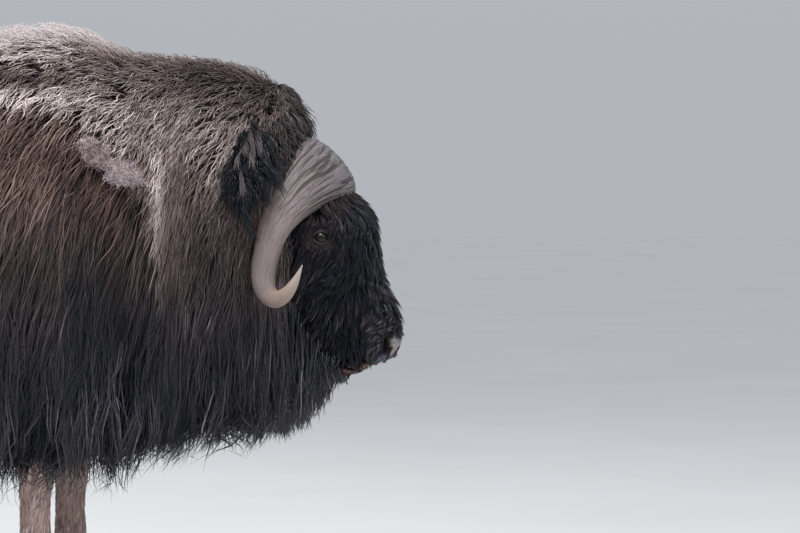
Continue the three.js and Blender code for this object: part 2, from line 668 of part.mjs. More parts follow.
SIDES.forEach(([word, side], i) => {
  const pads = WOOL_PADS.map((pad) => woolPad(pad, side));
  for (const [part, from, to, steps] of PARTS) {
    const wool = trunkHalf(from, to, steps, side, WOOL_DEPTH);
    let body = joined([wool, ...locksNear(coats[i], from, to), ...(part === "shoulder" ? pads : [])]);
    body = body.trimByPlane([0, side, 0], GAP / 2).trimByPlane([-1, 0, 0], -to);
    if (from > RUMP_MIDDLE) body = body.trimByPlane([1, 0, 0], from);
    for (const solid of [...legs, grown(tail())]) body = body.subtract(solid);
    add(`${part}_${word}`, body, COLOURS.guard);
  }
});

const maneLocks = coats.flatMap((coat) => locksNear(coat, NECK_START_X, MANE.x + MANE.arc));
const hornsGrown = SIDES.map(([, side]) => grown(hornForm(side)));
const earsGrown = SIDES.map(([, side]) => joined(earForm(side).map(grown)));
const headGrown = joined([headRoom(), ...[...headLocks(1), ...headLocks(-1)].map(grown)]);
let neck = joined([neckForm(WOOL_DEPTH), ...maneLocks]).trimByPlane([1, 0, 0], NECK_START_X + GAP / 2);
for (const solid of [headGrown, ...hornsGrown, ...earsGrown]) neck = neck.subtract(solid);
add("neck", neck, COLOURS.wool);
add("head", head().subtract(joined(hornsGrown)).subtract(joined(earsGrown)), COLOURS.face);
add("tail", tail(), COLOURS.guard);
SIDES.forEach(([word, side]) => {
  add(`horn_${word}`, hornForm(side), COLOURS.horn, finish(0.55));
  add(`ear_${word}`, joined(earForm(side)).subtract(headGrown), COLOURS.face);
  add(`eye_${word}`, ball(eyeCentre(side), EYE.radius, EYE_ROWS, EYE_SIDES), COLOURS.eye, finish(0.08));
});
for (const foot of FEET) {
  add(`leg_${foot.name}`, leg(foot), COLOURS.stocking);
  add(`hoof_${foot.name}`, hoof(foot), COLOURS.hoof, finish(0.6));
}

// The origin goes to the middle of the floor under the animal.
const box = new THREE.Box3().setFromObject(group);
group.position.set(-(box.min.x + box.max.x) / 2, -(box.min.y + box.max.y) / 2, -box.min.z);

export default group;
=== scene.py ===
"""The looks of a life-size muskox bull: skin, coat, horns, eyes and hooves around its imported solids."""

import math

import bmesh
import bpy
import numpy as np
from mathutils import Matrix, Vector, kdtree, noise
from mathutils.bvhtree import BVHTree


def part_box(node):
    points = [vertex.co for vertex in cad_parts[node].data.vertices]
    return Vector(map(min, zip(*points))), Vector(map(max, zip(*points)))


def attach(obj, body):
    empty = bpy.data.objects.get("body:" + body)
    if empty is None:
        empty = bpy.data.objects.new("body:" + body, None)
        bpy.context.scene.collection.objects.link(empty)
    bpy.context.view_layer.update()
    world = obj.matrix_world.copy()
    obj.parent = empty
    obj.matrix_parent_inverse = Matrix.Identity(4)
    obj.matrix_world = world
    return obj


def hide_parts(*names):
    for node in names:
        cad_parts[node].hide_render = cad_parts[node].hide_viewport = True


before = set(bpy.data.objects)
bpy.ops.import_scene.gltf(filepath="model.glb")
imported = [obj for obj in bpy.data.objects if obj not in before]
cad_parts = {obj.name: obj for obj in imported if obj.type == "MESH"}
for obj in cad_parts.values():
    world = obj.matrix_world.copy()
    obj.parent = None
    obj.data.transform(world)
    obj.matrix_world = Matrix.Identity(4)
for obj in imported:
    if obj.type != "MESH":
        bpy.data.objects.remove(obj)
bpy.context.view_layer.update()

MM = 0.001
RIGHT, LEFT = -1, 1
SIDES = {"right": RIGHT, "left": LEFT}
rng = np.random.default_rng(417)
uniform, normal = rng.uniform, rng.normal

# The straight animal in millimetres, as the solids have it: +X forward, +Y to its left.
HEAD_TURN = math.radians(12)
BEND_START_X, BEND_END_X, BEND_PIVOT_X = 560, 745, 700
BACK_Z = [(-880, 1235), (-700, 1268), (-400, 1296), (-100, 1320), (60, 1350), (180, 1392),
          (300, 1403), (400, 1386), (470, 1348), (560, 1338), (700, 1325), (800, 1300), (850, 1282)]
HALF_WIDTH = [(-880, 372), (-600, 395), (-200, 402), (200, 405), (400, 388), (560, 350), (700, 300),
              (780, 255), (850, 205)]
HEM_Z = [(-880, 325), (-500, 295), (0, 290), (240, 308), (480, 328), (560, 368), (700, 388), (850, 415)]
BELLY_Z = [(-880, 620), (-500, 545), (0, 525), (300, 530), (560, 560), (850, 600)]
SIDE_DEPTH = [(-880, 85), (300, 85), (600, 70), (850, 45)]
BACK_DEPTH = 55
WIDEST_Z = 880
HEM_SHARE = 0.93
ROUNDNESS = 0.8
RUMP_X, RUMP_REACH, RUMP_ARC = -880, 270, 508
MANE_X, MANE_REACH, MANE_ARC, MANE_LIFT = 850, 105, 250, 190
RUN_START, RUN_END = RUMP_X - RUMP_ARC, MANE_X + MANE_ARC

# Stations of the head: top edge, under edge and half width, from the neck to the nose.
HEAD_TOP = [(900, 1118), (950, 1082), (1000, 1042), (1046, 1000), (1086, 962), (1104, 920), (1112, 868),
            (1120, 815), (1141, 765), (1158, 712), (1163, 665), (1156, 630), (1141, 608)]
HEAD_UNDER = [(812, 650), (832, 652), (856, 648), (882, 640), (905, 630), (924, 620), (943, 608),
              (962, 597), (982, 585), (1003, 573), (1026, 563), (1054, 565), (1084, 578)]
HEAD_HALF = [142, 140, 136, 132, 128, 122, 112, 101, 93, 88, 84, 75, 52]
HEAD_TIP = (1116, 0, 592)
LAST_STATION = len(HEAD_HALF) - 1
HEAD_SQUARENESS = 2.5
JAW_TAPER = 0.2
# Swellings of the cheek, brow and muzzle: x, z, radius and rise.
SWELLINGS = [(994, 900, 52, 16), (1060, 850, 40, -7), (930, 760, 75, 9), (1105, 640, 34, 6),
             (1060, 612, 26, 4)]
EYE = np.array([996, 119, 898])
EYE_RADIUS = 20
EYE_FORWARD = math.radians(18)
LID_THICKNESS, LID_OPEN, LID_REACH = 3.4, math.radians(40), math.radians(74)
NOSTRIL = np.array([1138, 48, 637])
NOSTRIL_OUT = np.array([0.70, 0.71, 0.0])
MOUTH_CORNER_X, MOUTH_Z, MOUTH_TILT = 1006, 599, math.radians(3)

# The horn from the boss to the tip: centre, half width, half thickness, and how far the thickness has
# turned from the brow's direction to sideways.
HORN = [(979, 1, 1062, 95, 42, 0), (976, 40, 1055, 90, 45, 0.12), (962, 80, 1036, 75, 46, 0.3),
        (937, 122, 1003, 60, 40, 0.5), (914, 158, 967, 50, 35, 0.75), (897, 186, 926, 40, 31, 0.9),
        (884, 200, 878, 33, 28, 1), (877, 216, 828, 30, 27, 1), (882, 234, 786, 27, 25, 1),
        (899, 250, 761, 23.5, 22, 1), (923, 266, 755, 20, 19, 1), (949, 281, 770, 16, 15, 1),
        (971, 293, 798, 10, 9.5, 1), (993, 306, 839, 0.6, 0.6, 1)]
BROW_OUT = np.array([0.743, 0, 0.67])
EAR_ROOT, EAR_ELBOW, EAR_TIP = (848, 178, 1142), (834, 252, 1120), (836, 268, 962)
EAR_HALF, EAR_WALL, EAR_CUP = 40, 7, 20

# Leg rings: height, shift along x, half length and half width.
FORE_LEG = [(540, -15, 85, 62), (470, -10, 68, 54), (410, 0, 52, 48), (355, 4, 49, 46), (300, 2, 40, 40),
            (225, 0, 35, 37), (150, 0, 39, 41), (112, 3, 45, 47), (84, 13, 43, 48), (62, 20, 47, 52)]
HIND_LEG = [(540, 20, 112, 70), (475, -20, 76, 54), (425, -46, 54, 43), (375, -43, 43, 39),
            (300, -30, 35, 36), (225, -20, 33, 35), (150, -12, 37, 39), (112, -6, 41, 44), (84, 6, 40, 45),
            (62, 13, 44, 49)]
FEET = {"front_right": (272, -152, FORE_LEG), "front_left": (340, 150, FORE_LEG),
        "hind_right": (-790, -140, HIND_LEG), "hind_left": (-690, 142, HIND_LEG)}
HOOF_TOP_Z = 61.7
CLAW_HEEL, CLAW_TOE, CLAW_HALF, CLAW_CLEFT, CLAW_LEAN, HIND_SIZE = -40, 78, 27, 4, 20, 0.92
# Tail rings in the same way.
TAIL = [(1015, -1092, 22, 34), (960, -1112, 26, 36), (900, -1128, 24, 30), (850, -1138, 16, 18)]

# The skin lies at this share of the coat's depth, and the coat's lengths and parts are measured at this one.
SKIN_DEPTH, MEASURE_DEPTH = 0.28, 0.9
# The face's skin lies this far inside the solid head, whose form holds the hair.
HAIR_ROOM = 6
# The skin of the legs and the tail is this share as wide as their solids, whose form holds their hair.
LEG_SKIN, TAIL_SKIN = 0.96, 0.8
# A curly pad of wool behind the boss: centre and half sizes.
POLL_CENTRE, POLL_SIZE = (838, 0, 1146), (84, 134, 92)


def smooth(value, low, high):
    """A soft step from 0 at low to 1 at high."""
    t = np.clip((value - low) / (high - low), 0, 1)
    return t * t * (3 - 2 * t)


def fade(value, low, high):
    """A soft step from 1 at low to 0 at high."""
    return 1 - smooth(value, low, high)


def bell(value, width=1):
    """1 at 0, falling softly to nothing on both sides."""
    return np.exp(-(value / width) ** 2)


def joined(*columns):
    """Coordinates as points, each spread to the others' shape."""
    return np.stack(np.broadcast_arrays(*columns), -1)


def folded(p):
    """x, distance from the middle plane, and z of points."""
    return p[..., 0], np.abs(p[..., 1]), p[..., 2]


def along(pairs, x):
    """A smooth curve through (x, size) pairs, flat past both ends."""
    xs, ys = np.array(pairs, float).T
    x = np.clip(x, xs[0], xs[-1])
    ends = np.arange(len(xs))
    before, after = np.maximum(ends - 1, 0), np.minimum(ends + 1, len(xs) - 1)
    slope = (ys[after] - ys[before]) / (xs[after] - xs[before])
    i = np.clip(np.searchsorted(xs, x, side="right") - 1, 0, len(xs) - 2)
    span = xs[i + 1] - xs[i]
    t = (x - xs[i]) / span
    return ((2 * t ** 3 - 3 * t ** 2 + 1) * ys[i] + (t ** 3 - 2 * t ** 2 + t) * span * slope[i]
            + (3 * t ** 2 - 2 * t ** 3) * ys[i + 1] + (t ** 3 - t ** 2) * span * slope[i + 1])


def by_station(values, place):
    """A smooth curve through the values of stations 0, 1, 2 and so on."""
    return along(list(enumerate(values)), place)


def unit(v):
    """Each vector with length 1."""
    return v / np.maximum(np.linalg.norm(v, axis=-1, keepdims=True), 1e-9)


def signed_power(value, power):
    return np.sign(value) * np.abs(value) ** power


def circle(count):
    """Angles evenly round a ring."""
    return np.linspace(0, 2 * np.pi, count, endpoint=False)


def squared(angle, squareness):
    """The cosine and sine of a ring that is squarer than a circle where squareness passes 2."""
    return signed_power(np.cos(angle), 2 / squareness), signed_power(np.sin(angle), 2 / squareness)


def rotated(x, y, angle):
    """x and y turned in plan by an angle."""
    return x * np.cos(angle) - y * np.sin(angle), x * np.sin(angle) + y * np.cos(angle)


def turned(p):
    """Carries points of the straight animal to their place with the head turned."""
    p = np.asarray(p, float)
    angle = -HEAD_TURN * smooth(p[..., 0], BEND_START_X, BEND_END_X)
    x, y = rotated(p[..., 0] - BEND_PIVOT_X, p[..., 1], angle)
    return joined(BEND_PIVOT_X + x, y, p[..., 2])


eye_low, eye_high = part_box("eye_right")
SHIFT = np.array((eye_low + eye_high) / 2) - turned(EYE * [1, -1, 1]) * MM


def placed(p):
    """Points of the straight animal in millimetres, as metres in the row frame."""
    return turned(p) * MM + SHIFT


def unturned(p):
    """Placed metres of the head region back to straight millimetres."""
    q = (np.asarray(p) - SHIFT) / MM
    x, y = rotated(q[..., 0] - BEND_PIVOT_X, q[..., 1], HEAD_TURN)
    return joined(BEND_PIVOT_X + x, y, q[..., 2])


def with_head(x, y, z):
    """Straight directions turned with the head."""
    return joined(*rotated(x, y, -HEAD_TURN), z)


# Shapes of the trunk and the head

def coat_edge(x, share):
    """The coat's outer edge in the section at x, from the spine (0) over the side to the hem (1)."""
    width = along(HALF_WIDTH, x)
    angle = np.clip(share, 0, 0.5) * np.pi
    fall = np.maximum(2 * share - 1, 0)
    top = WIDEST_Z + (along(BACK_Z, x) - WIDEST_Z) * np.cos(angle) ** ROUNDNESS
    upper = share < 0.5
    y = np.where(upper, width * np.sin(angle) ** ROUNDNESS, width * (1 + (HEM_SHARE - 1) * fall ** 1.6))
    return y, np.where(upper, top, WIDEST_Z + (along(HEM_Z, x) - WIDEST_Z) * fall)


def body_edge(x, share):
    """The body under the coat in the same section, from the spine (0) to the middle of the belly (1)."""
    angle = np.clip(share, 0, 1) * np.pi
    width = along(HALF_WIDTH, x) - along(SIDE_DEPTH, x)
    cosine = signed_power(np.cos(angle), ROUNDNESS)
    rise, fall = along(BACK_Z, x) - BACK_DEPTH - WIDEST_Z, WIDEST_Z - along(BELLY_Z, x)
    y = width * np.maximum(np.sin(angle), 0) ** ROUNDNESS
    return y, WIDEST_Z + cosine * np.where(cosine > 0, rise, fall)


def trunk(run, share, depth, side):
    """Points of the trunk. Run is x on the sides and goes on round both ends; depth is 1 at the edge."""
    run, share, depth = np.broadcast_arrays(run, np.maximum(share, 0), depth)
    x = np.clip(run, RUMP_X, MANE_X)
    (body_y, body_z), (coat_y, coat_z) = body_edge(x, share), coat_edge(x, share)
    y = np.maximum(body_y + (coat_y - body_y) * depth, 0)
    z = body_z + (coat_z - body_z) * depth
    rear = run < x
    arc, reach = np.where(rear, RUMP_ARC, MANE_ARC), np.where(rear, RUMP_REACH, MANE_REACH)
    angle = np.minimum(np.abs(run - x) / arc, 1) * np.pi / 2
    forward = np.sign(run - x) * y * np.sin(angle) * reach / along(HALF_WIDTH, x)
    lift = np.where(rear, 0, MANE_LIFT * np.sin(angle) * np.maximum(WIDEST_Z - z, 0) / WIDEST_Z)
    return joined(x + forward, side * y * np.cos(angle), z + lift)


def head_surface(place, angle):
    """Points of the head's plain form, at a station and an angle round it."""
    place, angle = np.broadcast_arrays(place, angle)
    top, under = ([by_station(values, place) for values in zip(*edge)] for edge in (HEAD_TOP, HEAD_UNDER))
    across, height = squared(angle, HEAD_SQUARENESS)
    x, z = ((high + low) / 2 + (high - low) / 2 * height for high, low in zip(top, under))
    y = by_station(HEAD_HALF, place) * across * (1 - JAW_TAPER * (1 - height) / 2)
    for mark_x, mark_z, radius, rise in SWELLINGS:
        away = np.hypot(x - mark_x, z - mark_z) / radius
        y = y + np.sign(y) * rise * bell(away) * np.minimum(np.abs(y) / 40, 1)
    return joined(x, y, z)


def grid_normals(points):
    """Outward normals of a closed ring grid, rings first."""
    around = np.roll(points, -1, 1) - np.roll(points, 1, 1)
    return unit(np.cross(around, np.gradient(points, axis=0)))


def from_nostril(p):
    """0 in the middle of the nostril and 1 at its rim: a tall comma, wider at its top."""
    d = joined(*folded(p)) - NOSTRIL
    up = d[..., 2]
    ahead = d[..., 0] * NOSTRIL_OUT[1] - d[..., 1] * NOSTRIL_OUT[0] - 0.3 * up * (up < 0)
    inward = np.maximum(np.abs(d @ NOSTRIL_OUT) - 40, 0)
    return np.hypot(ahead / (12 + 0.12 * np.clip(up, -20, 20)), up / 19) + 0.1 * inward


def above_mouth(x, z):
    """Height over the line of the mouth."""
    return z - (MOUTH_Z - (x - MOUTH_CORNER_X) * math.tan(MOUTH_TILT))


def face_relief(p):
    """How far the skin of the face stands out, in millimetres: lips, nostrils, eye sockets and folds."""
    x, y, z = folded(p)
    from_eye = np.hypot((x - EYE[0]) / 1.25, z - EYE[2])
    socket = -13 * np.exp(-(from_eye / 15) ** 4) + 3 * bell(from_eye - 34, 8) * (z > EYE[2])
    tear = np.hypot((x - EYE[0] - 38) / 2.2, z - EYE[2] + 9)
    nostril = from_nostril(p)
    rim = -32 * np.exp(-nostril ** 5) + 4.5 * bell(nostril - 1.5, 0.3)
    mouth = above_mouth(x, z)
    lips = -10 * bell(mouth, 3.2) + 4 * bell(mouth - 11, 8) + 3.5 * bell(mouth + 10, 8)
    lips = lips * smooth(x, MOUTH_CORNER_X - 12, MOUTH_CORNER_X + 18)
    hairy = smooth(from_eye, 28, 55) * (1 - smooth(x, 1080, 1120) * fade(z, 680, 760))
    return smooth(y, 70, 100) * (socket - 3.5 * bell(tear, 8)) + rim + lips - HAIR_ROOM * hairy


# Mesh helpers

def mesh_object(name, points, faces):
    """An object from points in metres and a list of face index arrays, each with one row a face."""
    mesh = bpy.data.meshes.new(name)
    loops = np.concatenate([f.ravel() for f in faces]).astype(np.int32)
    sizes = np.concatenate([np.full(len(f), f.shape[1]) for f in faces])
    starts = np.concatenate([[0], np.cumsum(sizes)[:-1]]).astype(np.int32)
    mesh.vertices.add(len(points))
    mesh.vertices.foreach_set("co", np.asarray(points, np.float32).ravel())
    mesh.loops.add(len(loops))
    mesh.loops.foreach_set("vertex_index", loops)
    mesh.polygons.add(len(sizes))
    mesh.polygons.foreach_set("loop_start", starts)
    mesh.polygons.foreach_set("use_smooth", np.ones(len(sizes), bool))
    mesh.update(calc_edges=True)
    mesh.validate()
    made = bpy.data.objects.new(name, mesh)
    bpy.context.scene.collection.objects.link(made)
    return made


def vertex_places(obj):
    """An object's vertices in metres."""
    co = np.empty(len(obj.data.vertices) * 3, np.float32)
    obj.data.vertices.foreach_get("co", co)
    return co.reshape(-1, 3).astype(float)


def set_attribute(obj, name, values):
    """Stores one number for each vertex, for the materials to read."""
    attribute = obj.data.attributes.new(name, "FLOAT", "POINT")
    attribute.data.foreach_set("value", np.asarray(values, np.float32).ravel())


def set_uv(obj, uv):
    """Gives the OFBake map one place for each corner of each face."""
    layer = obj.data.uv_layers.new(name="OFBake")
    layer.data.foreach_set("uv", np.asarray(uv, np.float32).ravel())


def in_box(u, v, box):
    """Places of 0 to 1 inside a box (left, bottom, width, height) of the map."""
    return joined(u * box[2] + box[0], v * box[3] + box[1])


def tube(name, grid, uv_box, first=None, last=None):
    """A closed object through a ring grid in straight millimetres, unwrapped into a box of the map."""
    rings, sides = grid.shape[:2]
    ends = [grid[0].mean(0) if first is None else first, grid[-1].mean(0) if last is None else last]
    r, i = np.meshgrid(np.arange(rings - 1), np.arange(sides), indexing="ij")
    a, b = r * sides + i, r * sides + (i + 1) % sides
    quads = joined(a, b, b + sides, a + sides).reshape(-1, 4)
    i = np.arange(sides)
    j, last_ring = (i + 1) % sides, (rings - 1) * sides
    caps = [joined(j, i, rings * sides), joined(last_ring + i, last_ring + j, rings * sides + 1)]
    made = mesh_object(name, placed(np.concatenate([grid.reshape(-1, 3), ends])), [quads, *caps])
    quad_uv = joined((r[..., None] + [0, 0, 1, 1]) / (rings - 1), (i[None, :, None] + [0, 1, 1, 0]) / sides)
    low_v, high_v = i / sides, (i + 1) / sides
    cap_uv = [joined(u, joined(v1, v2, (v1 + v2) / 2))
              for u, v1, v2 in ((0, high_v, low_v), (1, low_v, high_v))]
    u, v = np.concatenate([part.reshape(-1, 2) for part in (quad_uv, *cap_uv)]).T
    set_uv(made, in_box(u, v, uv_box))
    bm = bmesh.new()
    bm.from_mesh(made.data)
    bmesh.ops.remove_doubles(bm, verts=bm.verts, dist=1e-5)
    bmesh.ops.recalc_face_normals(bm, faces=bm.faces)
    bm.to_mesh(made.data)
    bm.free()
    return made


# Boxes of the map for the parts of the skin, and the whole map for pieces of their own.
UV_TRUNK = (0.01, 0.36, 0.98, 0.63)
UV_HEAD = (0.01, 0.01, 0.44, 0.33)
UV_POLL = (0.47, 0.01, 0.16, 0.33)
UV_EAR = {RIGHT: (0.66, 0.2, 0.08, 0.14), LEFT: (0.75, 0.2, 0.08, 0.14)}
UV_LEG = {name: (0.66 + 0.08 * i, 0.01, 0.07, 0.16) for i, name in enumerate(FEET)}
UV_TAIL = (0.84, 0.2, 0.06, 0.14)
UV_LID = (0.91, 0.2, 0.06, 0.14)
UV_ALL = (0, 0, 1, 1)


def union(base, others):
    """Joins closed objects into the first one."""
    for other in others:
        modifier = base.modifiers.new("join", "BOOLEAN")
        modifier.operation, modifier.object, modifier.solver = "UNION", other, "MANIFOLD"
        bpy.context.view_layer.update()
        evaluated = base.evaluated_get(bpy.context.evaluated_depsgraph_get())
        united = bpy.data.meshes.new_from_object(evaluated)
        base.modifiers.clear()
        base.data = united
        bpy.data.objects.remove(other)
    return base


# The skin

TRUNK_RUNS, TRUNK_SHARES, BELLY_STEPS = 150, 44, 10
HEAD_RINGS, HEAD_SIDES = 150, 200


def trunk_skin():
    runs = np.linspace(RUN_START + 2, RUN_END - 10, TRUNK_RUNS)[:, None]
    shares = np.linspace(0, 1, TRUNK_SHARES)[None, :]
    right = trunk(runs, shares, SKIN_DEPTH, RIGHT)[:, ::-1]
    left = trunk(runs, shares, SKIN_DEPTH, LEFT)[:, 1:]
    mix = np.linspace(0, 1, BELLY_STEPS + 2)[1:-1][None, :, None]
    belly = left[:, -1:] * (1 - mix) + right[:, :1] * mix
    belly[..., 2] -= 12 * np.sin(np.pi * mix[..., 0])
    return tube("skin", np.concatenate([right, left, belly], 1), UV_TRUNK)


def head_skin():
    angle = circle(HEAD_SIDES) - np.pi / 2
    p = head_surface(np.linspace(0, LAST_STATION, HEAD_RINGS)[:, None], angle[None, :])
    return tube("head_skin", p + grid_normals(p) * face_relief(p)[..., None], UV_HEAD, last=HEAD_TIP)


def ball_grid(rings, sides):
    """Rings of a unit ball about the Z axis, without its poles."""
    rise = np.linspace(-np.pi / 2, np.pi / 2, rings + 2)[1:-1][:, None]
    angle = circle(sides)[None, :]
    return joined(np.cos(rise) * np.cos(angle), np.cos(rise) * np.sin(angle), np.sin(rise))


def ear_frame(t, side):
    """Middle line, width direction and outward direction of the ear at shares t of its length."""
    root, elbow, tip = (np.array(p) * [1, side, 1] for p in (EAR_ROOT, EAR_ELBOW, EAR_TIP))
    t = np.asarray(t)[..., None]
    middle = (1 - t) ** 2 * root + 2 * t * (1 - t) * elbow + t ** 2 * tip
    heading = unit(2 * (1 - t) * (elbow - root) + 2 * t * (tip - elbow))
    across = unit(np.array([1, 0, 0]) - heading * heading[..., :1])
    return middle, across, unit(np.cross(across, heading)) * -side


def ear_sizes(t):
    """Half width and depth of the ear's cup at shares t of its length."""
    return EAR_HALF * np.sin(np.pi * (0.2 + 0.8 * t)) ** 0.7, EAR_CUP * np.sin(np.pi * np.minimum(t + 0.1, 1))


def ear_skin(side, steps=26, sides=15):
    t = np.linspace(0, 1, steps + 1)[:-1, None]
    middle, across, out = ear_frame(t, side)
    half, cup = ear_sizes(t)
    wall = EAR_WALL * (1 - 0.6 * t) / 2
    u = np.linspace(-1, 1, sides)
    faces = []
    for sign, way in ((-1, u), (1, u[::-1])):
        rise = cup * way ** 2 + sign * wall * (1 - 0.4 * way ** 2)
        faces.append(middle + across * (way * half)[..., None] + out * rise[..., None])
    return tube("ear_skin", np.concatenate(faces, 1), UV_EAR[side], last=np.array(EAR_TIP) * [1, side, 1])


def on_ring(x, y, table, z, cos, sin, share=1):
    """Points round a leg at x and y, or round the tail, at heights z."""
    shift, long, wide = (along([(row[0], row[k]) for row in sorted(table)], z) for k in (1, 2, 3))
    return joined(x + shift + long * cos * share, y + wide * sin * share, z)


def leg_skin(name, rings=44, sides=30):
    heights = np.linspace(600, 62.5, rings)[:, None]
    ring = squared(circle(sides)[None, :], 2.3)
    return tube("leg_skin", on_ring(*FEET[name], heights, *ring, LEG_SKIN), UV_LEG[name])


def heel_x(name):
    """The rear of the leg just over the hoof."""
    x, _, table = FEET[name]
    _, shift, long, _ = table[-2]
    return x + shift - long


def dewclaw_skin(name, side):
    root = np.array([heel_x(name) + 16, FEET[name][1] + side * 22, 98])
    grid = ball_grid(10, 14) * [14, 11, 13]
    share = (grid[..., :1] / 14 - 1) / -2
    return tube("dewclaw_skin", grid + root + np.array([-10, side * 1.5, -9]) * share * 2, UV_LEG[name])


def tail_skin():
    heights = np.linspace(TAIL[0][0], TAIL[-1][0], 16)[:, None]
    angle = circle(20)[None, :]
    return tube("tail_skin", on_ring(0, 0, TAIL, heights, np.cos(angle), np.sin(angle), TAIL_SKIN), UV_TAIL)


def eye_axes(side):
    """The eye's centre, and its directions out of the head and forward along it."""
    sin, cos = math.sin(EYE_FORWARD), math.cos(EYE_FORWARD)
    return EYE * [1, side, 1], np.array([sin, side * cos, 0]), np.array([cos, -side * sin, 0])


def lid_skin(side, upper, steps=30, sides=12):
    """One lid: a rounded ridge that runs over the eyeball from its back corner to its front one."""
    centre, out, ahead = eye_axes(side)
    up = np.array([0, 0, 1])
    t = np.linspace(-1, 1, steps)[:, None]
    turn, rise = t * LID_REACH, upper * LID_OPEN * np.cos(t * np.pi / 2) + 0.04
    ray = out * np.cos(turn) * np.cos(rise) + ahead * np.sin(turn) * np.cos(rise) + up * np.sin(rise)
    wide = LID_THICKNESS * (2.1 - np.abs(t) * 0.9)
    edge = unit(up * upper - ray * ray[:, 2:] * upper)
    place = centre + ray * (EYE_RADIUS + LID_THICKNESS * 0.5) + edge * wide * 0.72
    angle = circle(sides)[None, :, None]
    grid = (place[:, None] + edge[:, None] * wide[:, None] * np.cos(angle)
            + ray[:, None] * LID_THICKNESS * (1 - 0.3 * np.abs(t[:, None])) * np.sin(angle))
    return tube("lid_skin", grid, UV_LID)


def make_skin():
    poll = ball_grid(22, 36) * POLL_SIZE + POLL_CENTRE
    parts = [head_skin(), tube("poll_skin", poll, UV_POLL), tail_skin()]
    for side in (RIGHT, LEFT):
        parts += [ear_skin(side), lid_skin(side, 1), lid_skin(side, -1)]
    for name in FEET:
        parts += [leg_skin(name), dewclaw_skin(name, 1), dewclaw_skin(name, -1)]
    return union(trunk_skin(), parts)


# Markings: where the coat is pale, warm or grey. They depend on the place on the animal.

# The mantle's rear edge as pairs of height and x. In front of it the mantle's short wool hangs over the body.
MANTLE_EDGE = [(500, 650), (727, 626), (850, 606), (980, 580), (1090, 532), (1180, 464), (1222, 386),
               (1250, 262), (1280, 60), (1312, -40), (1420, -60)]
BODY_TONE = [(300, 0.03), (500, 0.05), (650, 0.09), (760, 0.16), (880, 0.25), (1000, 0.34), (1150, 0.4),
             (1300, 0.44)]
MANTLE_TONE = [(300, 0.04), (500, 0.07), (640, 0.12), (730, 0.23), (800, 0.33), (880, 0.42), (960, 0.48),
               (1080, 0.59), (1200, 0.62), (1400, 0.55)]
# Marks on the coat: middle x and z, half width and height, and change of tone.
MARKS = [(240, 1385, 210, 60, 0.42), (240, 1284, 95, 22, -0.26), (250, 1234, 120, 24, 0.42),
         (430, 1165, 60, 60, 0.14), (576, 990, 20, 130, 0.42), (482, 1125, 26, 55, 0.26),
         (760, 1085, 60, 90, 0.12), (700, 1275, 190, 60, -0.22), (880, 1215, 90, 90, -0.26),
         (918, 1070, 45, 90, -0.42), (800, 880, 110, 110, -0.14), (-330, 1290, 260, 70, 0.36)]
WARM_MARKS = [(250, 1130, 150, 120, 0.55), (330, 1010, 190, 120, 0.4), (470, 960, 90, 160, 0.4),
              (-500, 1000, 500, 220, 0.4), (620, 950, 120, 260, 0.15)]


def marks_at(marks, x, z):
    """The sum of soft round marks at a place."""
    total = np.zeros(np.broadcast(x, z).shape)
    for mark_x, mark_z, wide, high, amount in marks:
        total += amount * np.exp(-((x - mark_x) / wide) ** 2 - ((z - mark_z) / high) ** 2)
    return total


def mantle_at(x, z):
    """1 on the mantle and 0 on the body behind it."""
    return smooth(x - along(MANTLE_EDGE, z), -14, 14)


def tone_at(x, z, mantle):
    """From black (0) over brown to pale wool (1)."""
    tone = along(BODY_TONE, z) * (1 - mantle) + along(MANTLE_TONE, z) * mantle
    return np.clip(tone + marks_at(MARKS, x, z), 0.02, 1)


def warm_at(x, z, mantle):
    """How reddish the hair is."""
    return np.clip(marks_at(WARM_MARKS, x, z) * (1 - 0.7 * mantle), 0, 1)


def pad_at(p):
    """1 on the bare pad between the nostrils, that narrows down to the lip."""
    x, y, z = folded(p)
    half = 16 + 30 * smooth(z, 606, 640)
    return (smooth(x, 1105, 1120) * fade(y, half - 4, half + 5) * smooth(z, 603, 614)
            * fade(z, 654, 668))


def lip_at(p):
    """1 on the bare edge of the upper lip, under the nostril: its own grey, tinted blue as painted sky sheen.
    """
    x, z = p[..., 0], p[..., 2]
    return smooth(x, 1096, 1114) * smooth(z, 590, 598) * fade(z, 606, 618)


